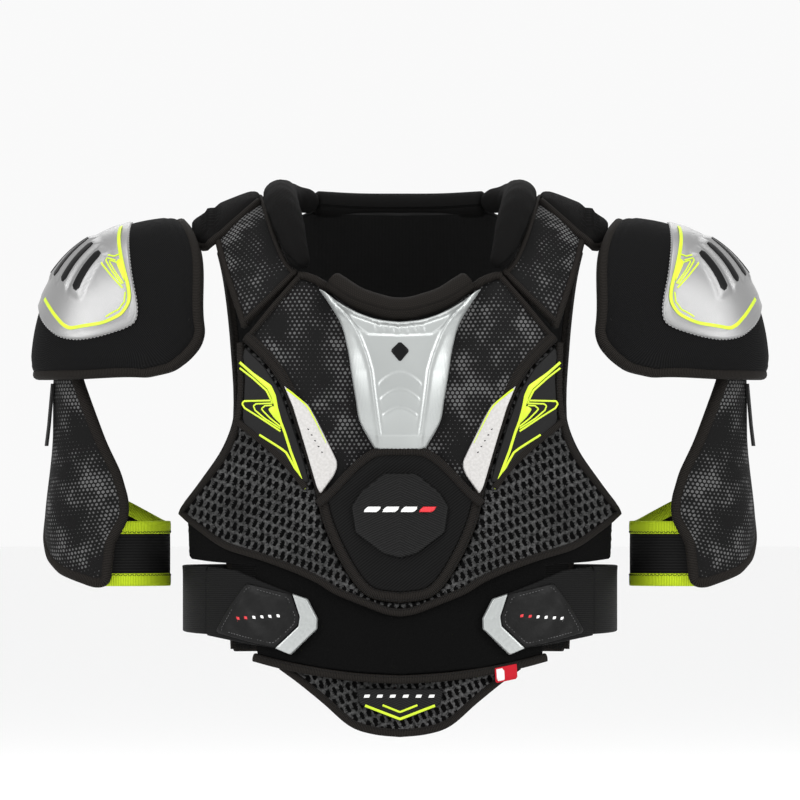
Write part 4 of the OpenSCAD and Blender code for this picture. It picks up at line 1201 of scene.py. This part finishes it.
def ring(p, d):
    """The arm band's strip; p is an angle round the arm and a height above its middle line."""
    a = p[:, 0]
    up = columns(np.sin(a * DEG), -np.cos(a * DEG), 0)
    across = unit(np.cross(band_middle(a - 1) - band_middle(a + 1), up))
    return band_middle(a) + across * p[:, 1:2] + up * np.reshape(d, (-1, 1))


def band(name, middle, h, r0, r1, material, body, nodes, mirror):
    """A strip of the arm band: h is half its height, r0 and r1 are its inner and outer faces."""
    a = np.arange(BAND_ENDS[0], BAND_ENDS[1] - 0.5, -3.0)
    base, up = stand(columns(a, middle), ring)
    side = [(h, r0), (h, (r0 + r1) / 2), (h * 0.96, r1), (h * 0.5, r1 + 0.25)]
    section = side + [(0, r1 + 0.3)] + [(-w, y) for w, y in side[::-1]] + [(0, r0)]
    return sweep(name, base, up, section, material, body, nodes, mirror=mirror)


for side, k in NEAR.items():
    body = "bicep_" + side
    grid_sheet("bicep_skin_" + side, guard, 44, 60, -2.6, 0.2, "printed_fabric", body, ["bicep_cover_" + side], k,
               lambda uv, dist: 0.8 * (1 - np.exp(-(dist / 12) ** 1.5)), 2.5)
    grid_sheet("bicep_foam_" + side, guard, 30, 36, -6, -3, "lining", body, ["bicep_insert_" + side], k, None, 1.0)
    rim_tape("bicep_binding_tape_" + side, guard, GUARD_RIM, body, ["bicep_binding_" + side], k, True)
    rim_stitches(guard, 0.93, 0.03, 0.94, 0.5, body, k, pitch=3.2)
    elastic_band = band("arm_band_elastic_" + side, 0, BAND_H / 2, -1, 0.7, "band_elastic", body,
                        ["arm_band_" + side], k)
    edges = [band("band_edge_%s_%s" % (name, side), high, 4.95, -1.3, 1.2, "lime_knit", body, (), k)
             for name, high in (("top", 20), ("low", -20))]
    length_of([(angle, 0) for angle in BAND_ENDS], ring)
    for high in (-16.5, 16.5):
        stitches([(a, high) for a in range(10, -248, -4)], ring, 1.3, body, mirror=k, pitch=1.8, long=2.2, thick=0.3,
                 zigzag=0.9)

# ---- CAD pieces that keep their own shape
for name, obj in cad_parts.items():
    for stem, material in (("cap_hanger", "hanger_plastic"), ("hanger_strap", "webbing")):
        if name.startswith(stem):
            for s in obj.material_slots:
                s.link, s.material = "OBJECT", M[material]
make_stitches()

# ---- floor, light and camera
LOOK_AT = (0, 0, -0.1)
bpy.ops.mesh.primitive_plane_add(size=60, location=(0, 0, -0.43))
floor = bpy.context.object
floor.name = "floor"
floor.data.materials.append(M["floor_pale"])

world = bpy.data.worlds.new("studio")
bpy.context.scene.world = world
world.use_nodes = True
colour, strength = world.node_tree.nodes["Background"].inputs[:2]
colour.default_value, strength.default_value = (1, 1, 1, 1), 0.95

# name, place and size in metres, watts
SOFTBOXES = (("key", (-1.7, -1.5, 0.9), (0.9, 1.6), 34), ("second", (1.7, -1.4, 0.8), (0.9, 1.6), 30),
             ("above", (0.0, -0.6, 1.9), (1.4, 0.9), 16), ("behind", (0.0, 1.8, 1.2), (1.6, 1.0), 10))
for name, place, size, watts in SOFTBOXES:
    light = bpy.data.lights.new(name, "AREA")
    light.shape, light.size, light.size_y, light.energy = "RECTANGLE", *size, watts
    ob = bpy.data.objects.new(name, light)
    ob.location = place
    ob.rotation_euler = (Vector(LOOK_AT) - Vector(place)).to_track_quat("-Z", "Y").to_euler()
    bpy.context.scene.collection.objects.link(ob)

DISTANCE, CHEST_FRONT, VIEW_WIDTH, SENSOR = 16.0, 0.09, 0.612, 36  # metres, and millimetres for the sensor
camera = bpy.data.cameras.new("camera")
camera.sensor_fit, camera.sensor_width = "HORIZONTAL", SENSOR
camera.lens = SENSOR * (DISTANCE - CHEST_FRONT) / VIEW_WIDTH
eye = bpy.data.objects.new("camera", camera)
eye.location = (0, -DISTANCE, -0.1056)
eye.rotation_euler = (math.pi / 2, 0, 0)
bpy.context.scene.collection.objects.link(eye)
bpy.context.scene.camera = eye
bpy.context.scene.view_settings.view_transform = "Standard"
